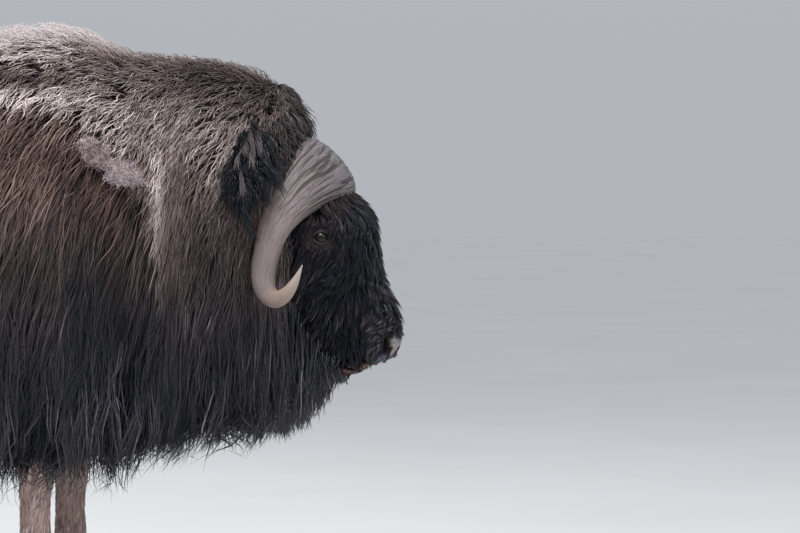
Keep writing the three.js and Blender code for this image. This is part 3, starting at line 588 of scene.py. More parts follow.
def mark_skin(skin):
    """Stores on the skin what its material reads. Its material halves the tone as painted shade, so that skin
    seen between the hairs reads as shadow.
    """
    places = vertex_places(skin)
    p = (places - SHIFT) / MM
    p = np.where(p[:, :1] > BEND_END_X, unturned(places), p)
    x, y, z = folded(p)
    mantle = mantle_at(x, z)
    on_face = smooth(x, 885, 930) * (z > 540) * (z < 1120)
    on_leg = (z < 430) * smooth(430 - z, 0, 60)
    on_head = x > 1000
    lower_lip = smooth(x, 1050, 1080) * fade(z, 588, 598) * (z > 560)
    muzzle = smooth(x, 1085, 1115) * fade(z, 680, 730)
    tone = tone_at(x, z, mantle) * (1 - on_face) + (0.02 + 0.12 * muzzle) * on_face
    ear_line = ear_frame(np.linspace(0, 1, 12), LEFT)[0]
    from_ear = np.linalg.norm(joined(x, y, z)[:, None] - ear_line, axis=-1).min(1)
    tone = tone + (0.04 - tone) * fade(from_ear, 45, 65)
    from_eye = np.hypot(x - EYE[0], z - EYE[2])
    tone = tone + 0.42 * bell(from_eye, 42) * (y > 60) * on_face
    tone = tone * (1 - on_leg) + 1.55 * on_leg
    for name, (_, foot_y, _) in FEET.items():
        behind = heel_x(name) - p[:, 0]
        on_claw = smooth(behind, -2, 4) * (np.hypot(behind, p[:, 1] - foot_y) < 42) * (z < 110)
        tone = tone * (1 - on_claw) + 0.3 * on_claw
    pad = pad_at(p) * on_head
    set_attribute(skin, "tone", tone + 0.8 * lower_lip)
    set_attribute(skin, "warm", warm_at(x, z, mantle) * (1 - on_face) + 0.6 * lower_lip + 0.45 * on_leg)
    set_attribute(skin, "pad", pad)
    # Painted reflection: a blue-white sky sheen on the front rim of the nose pad.
    set_attribute(skin, "pad_rim_sheen", pad * smooth(x, 1150, 1164))
    set_attribute(skin, "lip", lip_at(p) * on_head * (1 - pad))
    # Painted shade: the nostril's hollow is coloured near black.
    set_attribute(skin, "dark", fade(from_nostril(p) + 9 * ~on_head, 0.9, 1.12))


# Strands: closed three-sided tapering prisms along smooth paths

UV_PATCH = 0.003
PIECES = []


def hair_values(tone, warm, mantle, count):
    """What the hair's material reads: one number for the piece, each strand or each ring."""
    return {"tone": tone, "warm": warm, "vary": uniform(0, 1, count), "mantle": mantle}


def strands(name, paths, across, width, thick, root_uv, values, place=placed):
    """One piece from paths (strand, ring, xyz); the last ring is the tip. place() carries them to metres."""
    count, rings = paths.shape[0], paths.shape[1] - 1
    p = paths[:, :-1]
    ahead = unit(paths[:, 1:] - p)
    across = unit(across[:, :-1] - ahead * (across[:, :-1] * ahead).sum(-1, keepdims=True))
    s = np.linspace(0, 1, rings + 1)[:-1][None, :]
    taper = (0.55 + 0.45 * np.sin(np.pi * np.minimum(s * 1.6 + 0.1, 0.5))) * (1 - 0.72 * s ** 1.6)
    half = (width[:, None] / 2 * taper)[..., None]
    lift = (thick[:, None] * taper)[..., None]
    corners = np.stack([p - across * half, p + across * half, p + np.cross(ahead, across) * lift], 2)
    points = np.concatenate([corners.reshape(count, rings * 3, 3), paths[:, -1:]], 1)
    stride = rings * 3 + 1
    base = (np.arange(count) * stride)[:, None]
    k, j = np.meshgrid(np.arange(rings - 1), np.arange(3), indexing="ij")
    a, b = base + (k * 3 + j).ravel(), base + (k * 3 + (j + 1) % 3).ravel()
    quads = joined(a, b, b + 3, a + 3).reshape(-1, 4)
    last, j = base + (rings - 1) * 3, np.arange(3)
    tips = joined(last + j, last + (j + 1) % 3, base + stride - 1).reshape(-1, 3)
    made = mesh_object(name, place(points.reshape(-1, 3)), [quads, tips, base + np.array([2, 1, 0])])
    ring_of = np.concatenate([np.repeat(np.arange(rings), 3), [rings]])
    for key, value in values.items():
        value = np.asarray(value, float)
        value = np.broadcast_to(value[:, None] if value.ndim == 1 else value, (count, rings + 1))
        set_attribute(made, key, value[:, ring_of])
    share = ring_of / rings
    set_attribute(made, "along", np.broadcast_to(share, (count, stride)))
    offset = joined(np.concatenate([np.tile([-0.5, 0.5, 0], rings), [0]]), share - 0.5) * UV_PATCH
    corner_of = np.empty(len(made.data.loops), np.int32)
    made.data.loops.foreach_get("vertex_index", corner_of)
    set_uv(made, (root_uv[:, None] + offset[None]).reshape(-1, 2)[corner_of])
    PIECES.append(made)
    return made


def trunk_uv(run, share, side):
    """The map's place of a root on the trunk: the right hem is at the bottom, the spine near the middle."""
    steps = TRUNK_SHARES - 1
    v = (steps + side * np.clip(share, 0, 1) * steps) / (2 * TRUNK_SHARES - 1 + BELLY_STEPS)
    return in_box((run - RUN_START) / (RUN_END - RUN_START), v, UV_TRUNK)


# The section from the spine to the hem is about this long, and is never taken as shorter than the second.
SECTION_MM, LEAST_SECTION_MM = 1250, 300
SMALL_SHARE = 0.01
# The run where the rows of clumps are measured, and the distance between the sampled places of a row.
ROW_RUN, RUN_STEP = 300.0, 10.0
# Clumps further apart than this, on the stretches that the photo doesn't show, are spread more evenly.
WIDE_SPACING, EVEN_JITTER = 50, 0.55


def section_length(run, share, side):
    """Millimetres of the coat for one share of the section, at a place."""
    here, below = (trunk(run, share + more, MEASURE_DEPTH, side) for more in (0, SMALL_SHARE))
    return np.linalg.norm(below - here, axis=-1) / SMALL_SHARE


def scattered(run_range, spacing):
    """Roots spread evenly over the coat between two runs: run and share of each."""
    runs = np.arange(*run_range, RUN_STEP)
    round_end = (runs < RUMP_X) | (runs > MANE_X)
    jitter = EVEN_JITTER if spacing > WIDE_SPACING else 1
    rows = []
    share = 0.0
    while share < 0.97:
        metric = section_length(np.array([ROW_RUN]), share, LEFT)[0]
        crowd = np.where(round_end, np.clip(np.sin(min(share, 0.5) * np.pi), 0.3, 1), 1)
        total = np.concatenate([[0], np.cumsum(RUN_STEP * crowd)])
        number = int(total[-1] / spacing)
        shift = 0.5 * (1 - jitter) + 0.5 * (jitter < 1) * (len(rows) % 2)
        spots = (np.arange(number) + shift + jitter * uniform(0, 1, number)) * spacing
        row = np.interp(spots, total, np.append(runs, runs[-1] + RUN_STEP))
        rows.append(joined(row, share + jitter * uniform(-0.5, 0.5, number) * spacing / metric))
        share += spacing * 0.85 / metric
    return np.concatenate(rows)


# Length of the coat's hair at each height, behind the mantle's edge and on it.
BODY_LENGTH = [(280, 180), (500, 300), (750, 300), (950, 250), (1100, 200), (1250, 120), (1400, 80)]
MANTLE_LENGTH = [(280, 180), (500, 300), (700, 280), (850, 180), (960, 120), (1080, 92), (1200, 80),
                 (1400, 72)]
# How far the hair leans back from straight down, in degrees at each height, and over the spine in radians.
LEAN = [(300, 3), (600, 7), (850, 14), (1000, 26), (1150, 40), (1300, 52)]
SPINE_LEAN = 1.35


def coat(name, side, run_range, clump_spacing, per_clump, width, rings):
    """The long hair of one stretch of the trunk, in clumps whose tips draw together."""
    guides = scattered(run_range, clump_spacing)
    guides = guides[(guides[:, 0] > run_range[0]) & (guides[:, 0] < run_range[1])]
    owner = np.repeat(np.arange(len(guides)), per_clump)
    count = len(owner)
    clump_draw = lambda low, high: uniform(low, high, len(guides))[owner]
    hair_draw = lambda low, high: uniform(low, high, count)

    # Where the strands grow, and which parts of the coat they belong to
    run = guides[owner, 0] + normal(0, clump_spacing * 0.42, count)
    share = np.clip(guides[owner, 1] + normal(0, clump_spacing * 0.5, count) / SECTION_MM, 0, 1)
    x, _, z = trunk(run, share, MEASURE_DEPTH, side).T
    mantle = mantle_at(x, z) > hair_draw(0.3, 0.7)
    woolly = mantle * smooth(z, 850, 1080)
    tousle = smooth(z, 820, 960) * ~mantle
    low = fade(z, 650, 950)
    near_spine = fade(share, 0.02, 0.11)
    under_mantle = bell(x - along(MANTLE_EDGE, z) + 80, 58) * smooth(z, 640, 760) * fade(z, 1170, 1230)
    short_hair = smooth(z, 1000, 1130) * (clump_spacing > WIDE_SPACING)

    # Length, lean and depth in the coat
    length = np.where(mantle, along(MANTLE_LENGTH, z), along(BODY_LENGTH, z)) * hair_draw(0.75, 1.2)
    length = length * (1 + 0.3 * short_hair)
    lean = np.radians(along(LEAN, z)) * clump_draw(0.7, 1.25)
    lean = lean * np.where(x > 760, 0.5, 1) + normal(0, 0.07 + 0.16 * woolly, count)
    lean = lean * (1 - near_spine) + SPINE_LEAN * near_spine
    lean = lean * (1 - 0.8 * smooth(-run, 900, 1120)) * (1 - 0.8 * smooth(run, 800, 900))
    sink = np.where(mantle, 0, 0.45 * under_mantle)
    lock_depth = clump_draw(-0.15, 0.05) * (1 + 1.4 * low)
    reach = np.where(mantle, hair_draw(0.88, 1.06), hair_draw(0.8, 1.02)) - sink
    reach = reach + lock_depth * (1 - 0.5 * woolly) + 0.14 * woolly * hair_draw(-0.4, 1)
    reach = reach - 0.22 * near_spine * fade(x, 430, 560)
    reach = np.minimum(reach, 1.07 if clump_spacing > WIDE_SPACING else 1.25)
    start = hair_draw(0.1, 0.4) - sink * 0.4

    # Waves of the clumps and crimp of the single strands
    clump_wave = clump_draw(0, 2 * np.pi)
    wave_size = (6 + 15 * low) * clump_draw(0.5, 1.4)
    crimp = (2.4 + 1.0 * mantle + 0.8 * woolly + 1.6 * tousle) * hair_draw(0.3, 1.5)
    lean = lean + 0.13 * tousle * normal(0, 1, count)
    crimp_phase = hair_draw(0, 2 * np.pi)
    converge = (hair_draw(0.45, 0.8) + 0.25 * low) * (1 - 0.75 * short_hair)
    across_spine = hair_draw(0, 38) * fade(share, 0, 0.06)

    s = np.linspace(0, 1, rings + 1)
    runs, shares = np.empty((count, rings + 1)), np.empty((count, rings + 1))
    here_run, here_share, step = run, share, length / rings
    for k in range(rings + 1):
        pull = converge * s[k] ** 1.3
        wave = wave_size * s[k] * (np.sin(clump_wave + s[k] * length / 42)
                                   + 0.45 * np.sin(2.7 * clump_wave + s[k] * length / 20))
        runs[:, k] = here_run + (guides[owner, 0] - run) * pull + wave
        shares[:, k] = here_share + (guides[owner, 1] - share) * pull
        local = np.maximum(section_length(here_run, here_share, side), LEAST_SECTION_MM)
        here_share = here_share + step * np.cos(lean) / local
        here_run = here_run - step * np.sin(lean)
        lean = lean * 0.86
    shares = np.minimum(shares, 1 + uniform(-0.03, 0.03, (count, 1)))
    depth = start[:, None] + (reach - start)[:, None] * s ** 0.55
    paths = trunk(runs, shares, depth, side)
    out = unit(trunk(runs, shares, depth + 0.3, side) - paths)
    across = unit(np.cross(unit(np.gradient(paths, axis=1)), out))
    pitch = 9.5 - 3.5 * woolly
    curl = np.sin(crimp_phase[:, None] + s * (length / pitch)[:, None]) * crimp[:, None] * s ** 0.5
    paths = paths + across * curl[..., None] + out * (0.6 * np.roll(curl, 1, 1))[..., None]
    paths[..., 1] -= side * across_spine[:, None]

    # Colours of the strands that stay clear of the head
    keep = clear_of_head(paths)
    paths = paths[keep]
    x, _, z = np.moveaxis(paths, -1, 0)
    number = len(paths)
    tone = tone_at(x, z, mantle[keep, None]) + normal(0, 0.045, (number, 1))
    lock_tone = 1 + np.clip(normal(0, 1, len(guides)), -2, 1.6)[owner] * (0.12 + 0.2 * low)
    glint = (0.13 * clump_draw(0, 1) ** 3 + 0.2 * hair_draw(0, 1) ** 5) * (1 + 1.1 * low)
    glint = glint - 0.045 - 0.035 * low
    shade = glint - 0.12 * under_mantle * (woolly <= 0)
    tone = np.clip(tone * lock_tone[keep, None] + shade[keep, None], 0.01, 1)
    # Painted sky sheen: low down, warm falls below 0, which tints the black skirt blue.
    warm = warm_at(x, z, mantle[keep, None]) - 0.9 * fade(z, 520, 860)
    values = hair_values(tone, warm, woolly[keep], number)
    size = width * uniform(0.6, 1.35, number)
    strands(name, paths, across[keep], size, size * 0.42, trunk_uv(run[keep], share[keep], side), values)


def clear_of_head(paths):
    """Which strands start outside the head and stay off the horns."""
    near = paths[:, 0, 0] > 780
    keep = np.ones(len(paths), bool)
    for i in np.flatnonzero(near):
        for p in placed(paths[i, [0, 2, 4]]):
            place, outward, _, _ = HEAD_TREE.find_nearest(p)
            if (Vector(p) - place).dot(outward) < 0:
                keep[i] = False
    spine = np.concatenate([HORN_SPINE * [1, side, 1] for side in (RIGHT, LEFT)])
    radius = np.tile(HORN_RADIUS, 2)
    for i in np.flatnonzero(near & keep):
        away = np.linalg.norm(paths[i][:, None] - spine[None], axis=-1) - radius[None]
        keep[i] = away.min() > 2
    return keep


def horn_curve(steps):
    """Centre, half width, half thickness and turn along the horn's left side, evenly by station."""
    place = np.linspace(0, len(HORN) - 1, steps)
    x, y, z, wide, thick, turn = (by_station(values, place) for values in zip(*HORN))
    return place, joined(x, y, z), wide, thick, turn


_, HORN_SPINE, horn_wide, horn_thick, _ = horn_curve(60)
HORN_RADIUS = np.minimum(horn_wide, horn_thick) * 0.95
# Lengthwise fibres of the horn: how many go round it, and their share of the relief.
HORN_FIBRES = ((23, 0.5), (37, 0.45), (61, 0.35), (97, 0.2))
HORN_CRACKS = 64


def make_horn(name, side, steps=260, sides=120):
    """The horn with its lengthwise fibres and the cracks of the boss."""
    place, centre, wide, thick, turn = horn_curve(steps)
    heading = unit(np.gradient(centre, axis=0))
    heading[0] = [0, 1, 0]
    out = BROW_OUT * (1 - turn[:, None]) + np.array([0, 1, 0]) * turn[:, None]
    width_way = unit(np.cross(heading, out))
    thick_way = unit(np.cross(width_way, heading))
    angle = circle(sides)
    cos, sin = squared(angle, 2.2)
    grid = (centre[:, None] + width_way[:, None] * (wide[:, None] * cos)[..., None]
            + thick_way[:, None] * (thick[:, None] * sin)[..., None])
    boss = fade(place, 2.4, 5.2)
    fibres = np.zeros((steps, sides))
    for wave, size in HORN_FIBRES:
        drift = np.sin(place * uniform(0.8, 1.6) + uniform(0, 6)) * uniform(1, 2.5)
        fibres += size * np.sin(wave * angle[None] + drift[:, None] + uniform(0, 6))
    cracks = np.zeros((steps, sides))
    for _ in range(HORN_CRACKS):
        middle, start, long = uniform(0, 2 * np.pi), uniform(0, 5), uniform(0.5, 2)
        off = (angle[None] - middle - 0.1 * np.sin(place * 2 + middle)[:, None] + np.pi) % (2 * np.pi) - np.pi
        run = np.exp(-((place - start) / long) ** 4)[:, None]
        cracks -= uniform(0.6, 2.0) * bell(off, 0.035) * run
    relief = 1.5 * fibres * (0.2 + 0.8 * boss[:, None]) + cracks * (0.1 + 0.9 * boss[:, None])
    relief *= smooth(len(HORN) - 1 - place, 0, 2)[:, None]
    outward = unit(grid - centre[:, None])
    grid = (grid + outward * relief[..., None] * 0.8) * [1, side, 1]
    made = tube(name, grid, UV_ALL, last=np.array(HORN[-1][:3]) * [1, side, 1])
    tree = kdtree.KDTree(steps * sides)
    for i, spot in enumerate(placed(grid.reshape(-1, 3))):
        tree.insert(spot, i)
    tree.balance()
    nearest = np.array([tree.find(v)[1] for v in vertex_places(made)])
    around = angle[nearest % sides]
    set_attribute(made, "station", place[nearest // sides])
    set_attribute(made, "relief", relief.ravel()[nearest])
    set_attribute(made, "round_cos", np.cos(around))
    set_attribute(made, "round_sin", np.sin(around))
    return made


# Fur that lies on the head, legs, ears and tail

def surface_points(p):
    """Nearest places on the skin and its normals there, all in placed metres."""
    hits = [SKIN_TREE.find_nearest(q)[:2] for q in p]
    return np.array([h[0] for h in hits]), np.array([h[1] for h in hits])


def lying_fur(name, roots, flow, length, width, height, tone, root_uv, rings=3, lift=0.5, curl=0.0,
              warm=0.0, per_tuft=1, spread=0.0, pull=0.75, woolly=0.0):
    """Tufts of fur that follow the skin. A tuft's middle line steps over it, and its hairs draw together.

    Roots are placed metres, and flow gives the lie of the hair at a place."""
    count = len(roots)
    p, outward = surface_points(roots)
    direction = flow(p)
    middle, normals, sides = [p], [outward], []
    step = (length * MM / rings)[:, None]
    drift = normal(0, 1, (count, 1)) * curl
    for k in range(rings):
        tangent = unit(direction - outward * (direction * outward).sum(-1, keepdims=True))
        sides.append(unit(np.cross(tangent, outward)))
        bend = drift * math.cos(2.4 * k) * step
        p, outward = surface_points(p + tangent * step + sides[-1] * bend)
        direction = flow(p) * 0.5 + direction * 0.5
        middle.append(p)
        normals.append(outward)
    sides.append(sides[-1])
    owner = np.repeat(np.arange(count), per_tuft)
    middle, normals, sides = (np.stack(v, 1)[owner] for v in (middle, normals, sides))
    number = len(owner)
    s = np.linspace(0, 1, rings + 1)[None, :, None]
    ahead = unit(np.gradient(middle, axis=1))
    away = normal(0, spread * 0.55 * MM, (2, number, 1, 1))
    rise = (height[owner] * uniform(0.45, 1.25, number) * MM)[:, None, None]
    phase = uniform(0, 2 * np.pi, (number, 1, 1))
    wave = np.sin(phase + s * 5.5) * (width[owner] * 0.5 * MM)[:, None, None] * s
    paths = middle + (sides * away[0] + ahead[:, :1] * away[1]) * (1 - pull * s) + sides * wave
    paths = paths + normals * (rise * s ** lift - MM * (s == 0))
    warm = np.broadcast_to(warm, count)[owner]
    values = hair_values(tone[owner] + normal(0, 0.03, number), warm, woolly, number)
    wide = width[owner] * uniform(0.75, 1.25, number) * MM
    uv = root_uv[owner] + uniform(-0.001, 0.001, (number, 2))
    return strands(name, paths, sides, wide, wide * 0.4, uv, values, place=np.asarray)


def face_roots(count, side):
    """Roots spread over one side of the head by area, with their places on the map."""
    place = uniform(0, LAST_STATION, 12 * count)
    angle = uniform(-np.pi / 2, 1.5 * np.pi, 12 * count)
    p = head_surface(place, angle)
    step_a, step_b = head_surface(place + 0.02, angle) - p, head_surface(place, angle + 0.02) - p
    area = np.linalg.norm(np.cross(step_a, step_b), axis=-1)
    x, y, z = p.T
    from_eye = np.hypot(x - EYE[0], z - EYE[2]) + 200 * (np.abs(y) < 60)
    muzzle = smooth(x, 1085, 1120) * fade(z, 670, 720)
    parting = bell(x - 1062, 26) * smooth(z, 680, 720)
    area *= 1 + 4.5 * bell(from_eye, 50) + 6 * muzzle + 1.6 * parting
    kept = (y * side > -10) & (uniform(0, 1, len(p)) < area / np.quantile(area, 0.97)) & face_open(p)
    p, place, angle = p[kept][:count], place[kept][:count], angle[kept][:count]
    return p, in_box(place / LAST_STATION, (angle / (2 * np.pi) + 0.25) % 1, UV_HEAD)


def face_open(p):
    """Where hair may grow on the head: not on the eye, the nose pad, in a nostril or between the lips."""
    x, y, z = folded(p)
    eye = np.hypot((x - EYE[0]) / 23, (z - EYE[2]) / 14) > 1
    pad = (pad_at(p) < 0.4) & (lip_at(p) < 0.6)
    lips = (x < MOUTH_CORNER_X) | (np.abs(above_mouth(x, z)) > 9)
    from_horn = [np.min(np.linalg.norm(q - HORN_SPINE, axis=1) - HORN_RADIUS) for q in joined(x, y, z)]
    return eye & (from_nostril(p) > 1.6) & pad & lips & (np.array(from_horn) > -2)


def head_flow(p):
    """The lie of the face's hair: down the bridge, then back and down over the cheeks."""
    q = unturned(p)
    x, y, z = q[..., 0], q[..., 1], q[..., 2]
    front = fade(np.abs(y), 30, 95)
    brow = smooth(z, 925, 975)
    muzzle = smooth(x, 1085, 1125) * fade(z, 690, 740)
    jaw = fade(z, 640, 720)
    swirl = 0.3 * np.sin(x / 31) * np.cos(z / 37)
    bridge = smooth(x, 1000, 1110)
    ahead = -0.5 + 0.68 * bridge * (1 - muzzle) + 0.75 * brow - 0.25 * muzzle + 0.15 * jaw + swirl
    parted = 0.3 * front * (1 - brow) * smooth(np.abs(y), 4, 30) + 0.1
    down = -0.85 + 0.35 * muzzle + 0.1 * swirl
    return unit(with_head(ahead, np.sign(y) * parted + 0.25 * np.sin(z / 19), down))


# On each side: the face's tufts, the hairs in each and how wide they are; the beard's hairs and how wide
# they are; and the ear's tufts and the hairs in each.
FACE_TUFTS = {RIGHT: (1340, 5, 1), LEFT: (860, 4, 1.25)}
BEARD_HAIRS = {RIGHT: (1850, 1), LEFT: (1200, 1.35)}
EAR_TUFTS = {RIGHT: (52, 27), LEFT: (40, 20)}
BEARD_CLUMPS = 220


def make_face(side_name):
    side = SIDES[side_name]
    count, per_tuft, widened = FACE_TUFTS[side]
    roots, uv = face_roots(count, side)
    x, y, z = folded(roots)
    from_eye = np.hypot(x - EYE[0], z - EYE[2]) + 200 * (y < 60)
    length = 44 + 30 * smooth(1010 - x, 0, 110) + 34 * fade(z, 640, 740) * fade(x, 1040, 1090)
    length = length + 12 * smooth(z, 940, 985)
    muzzle = smooth(x, 1085, 1125) * fade(z, 680, 740)
    length = length * (1 - muzzle) + 16 * muzzle
    near_mouth = (np.abs(z - MOUTH_Z + 3) < 16) & (x > MOUTH_CORNER_X)
    length = np.where(near_mouth, np.minimum(length, 10), length)
    length = np.minimum(length, 12 + 0.85 * np.maximum(from_eye - 22, 0)) * uniform(0.75, 1.25, len(x))
    height = np.clip(length * 0.24 + 1.4 * muzzle, 1.2, 15)
    width = np.clip(1.1 + length * 0.05, 1.4, 3.5) * widened
    spread = np.repeat(3.4 + 4.8 * smooth(length, 12, 45), per_tuft)[:, None, None]
    brow = smooth(z, 935, 965) * (1 - 0.85 * smooth(x, 1010, 1050))
    bridge = smooth(x, 1040, 1080) * smooth(z, 780, 860)
    glint = (0.4 - 0.32 * bridge) * (1 - 0.85 * bell(from_eye, 75))
    cheek = np.exp(-((x - 955) / 55) ** 2 - ((z - 865) / 55) ** 2) * (y > 80)
    lower_lip = smooth(x, 1022, 1052) * smooth(z, 554, 566) * fade(z, 594, 603)
    eye_ring = bell(np.maximum(from_eye - 8, 0), 32)
    tone = -0.03 + 0.15 * brow + 0.17 * muzzle + glint * uniform(0, 1, len(x)) ** 4
    tone = tone + 0.14 * cheek + 0.42 * lower_lip + 0.2 * eye_ring
    # Painted sky sheen: a negative warm tints the black face hair blue, except at the brow and round the eye.
    warm = 1.35 * lower_lip - 0.8 * (1 - brow) * (1 - eye_ring) + 0.3 * eye_ring
    lying_fur(f"face_hair_{side_name}", placed(roots), head_flow, length, width, height, tone, uv, rings=4,
              lift=0.8, curl=0.35, warm=warm, per_tuft=per_tuft, spread=spread)


def poll_flow(p):
    y = unturned(p)[:, 1]
    aside = 0.35 * np.sign(y) * smooth(np.abs(y), 20, 120)
    return unit(with_head(0.9, aside, -0.45) + normal(0, 0.3, (len(p), 3)))


def make_poll():
    """Short curly wool behind the boss, that falls forward over its rear edge."""
    count = 530
    d = unit(normal(0, 1, (count * 4, 3)))
    roots = d * POLL_SIZE + POLL_CENTRE
    kept = (roots[:, 2] > 1085) & (roots[:, 0] > 770)
    roots, d = roots[kept][:count], d[kept][:count]
    uv = in_box(np.arctan2(d[:, 1], d[:, 0]) / (2 * np.pi) + 0.5, np.arcsin(d[:, 2]) / np.pi + 0.5, UV_POLL)
    beside = smooth(np.abs(roots[:, 1]), 55, 110)
    length = uniform(36, 70, len(roots)) * (1 - 0.45 * beside)
    tone = 0.28 + 0.17 * uniform(0, 1, len(roots)) - 0.17 * smooth(roots[:, 0], 850, 905)
    width, height = uniform(2.8, 4.6, len(roots)), uniform(14, 34, len(roots))
    lying_fur("poll_wool", placed(roots), poll_flow, length, width, height, tone * (1 - 0.6 * beside), uv,
              rings=5, lift=0.6, curl=0.5, per_tuft=4, spread=8.0, woolly=0.6)


def hanging(name, roots, tips, bulge, width, root_uv, tone, rings=6, wave=6.0, warm=0.0):
    """Long hair that hangs free from its roots to its tips, in straight millimetres."""
    count = len(roots)
    s = np.linspace(0, 1, rings + 1)[None, :, None]
    drop = tips - roots
    paths = roots[:, None] + drop[:, None] * s
    paths = paths + bulge[:, None] * np.sin(np.pi * np.minimum(s * 1.25, 1)) * 0.9
    length = np.linalg.norm(drop, axis=1)[:, None]
    phase, size = uniform(0, 2 * np.pi, (count, 1)), uniform(0.3, 1.4, (count, 1)) * wave
    curl = size * s[..., 0] * np.sin(phase + s[..., 0] * length / 16)
    paths[..., 0] += curl
    paths[..., 1] += 0.6 * np.roll(curl, 1, 1)
    out = unit(bulge + normal(0, 2, bulge.shape))[:, None]
    across = unit(np.cross(unit(np.gradient(paths, axis=1)), out))
    strands(name, paths, across, width, width * 0.42, root_uv, hair_values(tone, warm, 0.0, count))


# The lower edge of the beard: height at each x. Its hair grows from the jaw, this far from the middle.
BEARD_EDGE = [(780, 395), (850, 398), (900, 408), (940, 428), (972, 470), (1000, 530), (1025, 552)]
BEARD_HALF = [(790, 120), (900, 100), (960, 84), (1010, 62)]


def make_beard(side_name):
    """Long hair from the cheek, the jaw and the throat down to the beard's edge."""
    side = SIDES[side_name]
    count, widened = BEARD_HAIRS[side]
    owner = rng.integers(0, BEARD_CLUMPS, count)
    clump_draw = lambda low, high: uniform(low, high, BEARD_CLUMPS)[owner]
    x = 800 + 215 * clump_draw(0, 1) + normal(0, 7, count)
    high = uniform(0, 1, count) ** 1.3
    under, y_jaw = along(HEAD_UNDER, x), along(BEARD_HALF, x)
    y = y_jaw * (-0.2 + 1.2 * uniform(0, 1, count) ** 0.7)
    z = under + 12 + high * (190 - smooth(x, 900, 1000) * 150) * (y > y_jaw * 0.8)
    y = np.where(z > under + 30, y_jaw + 16 * smooth(z, 600, 760), y)
    p, outward = surface_points(placed(joined(x, side * y, z)))
    roots = unturned(p - outward * 4 * MM)
    x, y, z = folded(roots)
    edge = along(BEARD_EDGE, x) + clump_draw(-14, 60) + rng.exponential(22, count)
    back = (z - edge) * (0.07 + 0.1 * clump_draw(-1, 1))
    tip_x, tip_y = x - back + normal(0, 8, count) * 0.6, y * 0.9 + normal(0, 12, count) + 8
    tips = joined(tip_x, side * tip_y, np.minimum(edge, z - 40))
    bulge = joined(uniform(-4, 12, count), side * uniform(10, 30, count), 0)
    uv = in_box((x - 780) / 400, 0.5 + side * 0.4 * y / 160, UV_HEAD)
    size = uniform(3.0, 5.8, count) * widened
    # Painted highlights: a few pale clumps and strands stand for glints, and warm -0.9 tints them blue as
    # painted sky sheen.
    tone = -0.03 + 0.22 * clump_draw(0, 1) ** 3 + 0.4 * uniform(0, 1, count) ** 5
    hanging(f"beard_{side_name}", roots, tips, bulge, size, uv, tone, rings=5, wave=10.0, warm=-0.9)


def make_ear_hair(side_name):
    """Shaggy tufts of the ear, mostly black, from its edges and back, with a few pale ones inside."""
    side = SIDES[side_name]
    tufts, per_tuft = EAR_TUFTS[side]
    owner = np.repeat(np.arange(tufts), per_tuft)
    count = len(owner)
    inner = np.arange(tufts) % 7 == 3
    t = np.where(inner, uniform(0.15, 0.8, tufts), uniform(0, 0.95, tufts))
    u = np.where(inner, uniform(-0.45, 0.5, tufts), uniform(-1.1, 1.1, tufts))
    length = uniform(55, 165, tufts) * (1 - 0.4 * t) * np.where(inner, 0.85, 1)
    lean = joined(0.12 + 0.42 * u + normal(0, 0.2, tufts), side * uniform(-0.1, 0.25, tufts), -1)
    pale = inner[owner]
    here_t = np.clip(t[owner] + normal(0, 0.05, count), 0, 0.98)
    here_u = np.clip(u[owner] + normal(0, 0.16, count) * np.where(pale, 0.3, 1), -1.15, 1.15)
    middle, across, out = ear_frame(here_t, side)
    half, cup = ear_sizes(here_t)
    lifted = np.where(pale, -15, uniform(-8, 4, count))
    roots = middle + across * (here_u * half)[:, None] + out * (cup * here_u ** 2 + lifted)[:, None]
    top = fade(here_t, 0, 0.35) * uniform(0, 1, count)
    roots += top[:, None] * [0, side * 12, 26]
    centre, across, out = ear_frame(t, side)
    tuft_tip = centre + across * (u * ear_sizes(t)[0])[:, None] + unit(lean) * length[:, None]
    tips = tuft_tip[owner] + normal(0, 5, (count, 3)) + out[owner] * lifted[:, None]
    tips = roots + (tips - roots) * uniform(0.65, 1.1, (count, 1))
    bulge = joined(2 + 8 * here_u, side * uniform(2, 14, count), 6)
    tone = np.where(pale, 0.5, -0.07) + 0.15 * uniform(0, 1, count) ** 3
    width = uniform(2.0, 4.0, count) * np.where(pale, 0.55, 1)
    uv = in_box(here_t, 0.25 + 0.2 * here_u, UV_EAR[side])
    # warm -0.4 tints the ear's hair blue as painted sky sheen.
    hanging(f"ear_hair_{side_name}", roots, tips, bulge, width, uv, tone, rings=4, wave=8.0, warm=-0.4)


def leg_flow(p):
    return unit(np.array([[-0.18, 0, -1]]) + normal(0, 0.06, (len(p), 3)))


def make_leg_fur(name, count=560):
    """Short pale hair of the lower leg."""
    z, angle = uniform(66, 385, count), uniform(0, 2 * np.pi, count)
    roots = on_ring(*FEET[name], z, np.cos(angle), np.sin(angle))
    uv = in_box((600 - z) / 540, angle / (2 * np.pi), UV_LEG[name])
    length = uniform(26, 44, count) * (1 - 0.35 * smooth(100 - z, 0, 40))
    length = np.minimum(length, (z - 38) * 0.9)
    tone = 0.9 - 0.2 * smooth(z, 300, 430) + uniform(-0.1, 0.1, count)
    width, height = uniform(2.8, 4.4, count), uniform(2, 5, count)
    lying_fur(f"leg_hair_{name}", placed(roots), leg_flow, length, width, height, tone, uv, rings=2, lift=0.8,
              warm=0.45, per_tuft=4, spread=9.0, pull=0.4, woolly=1.2)


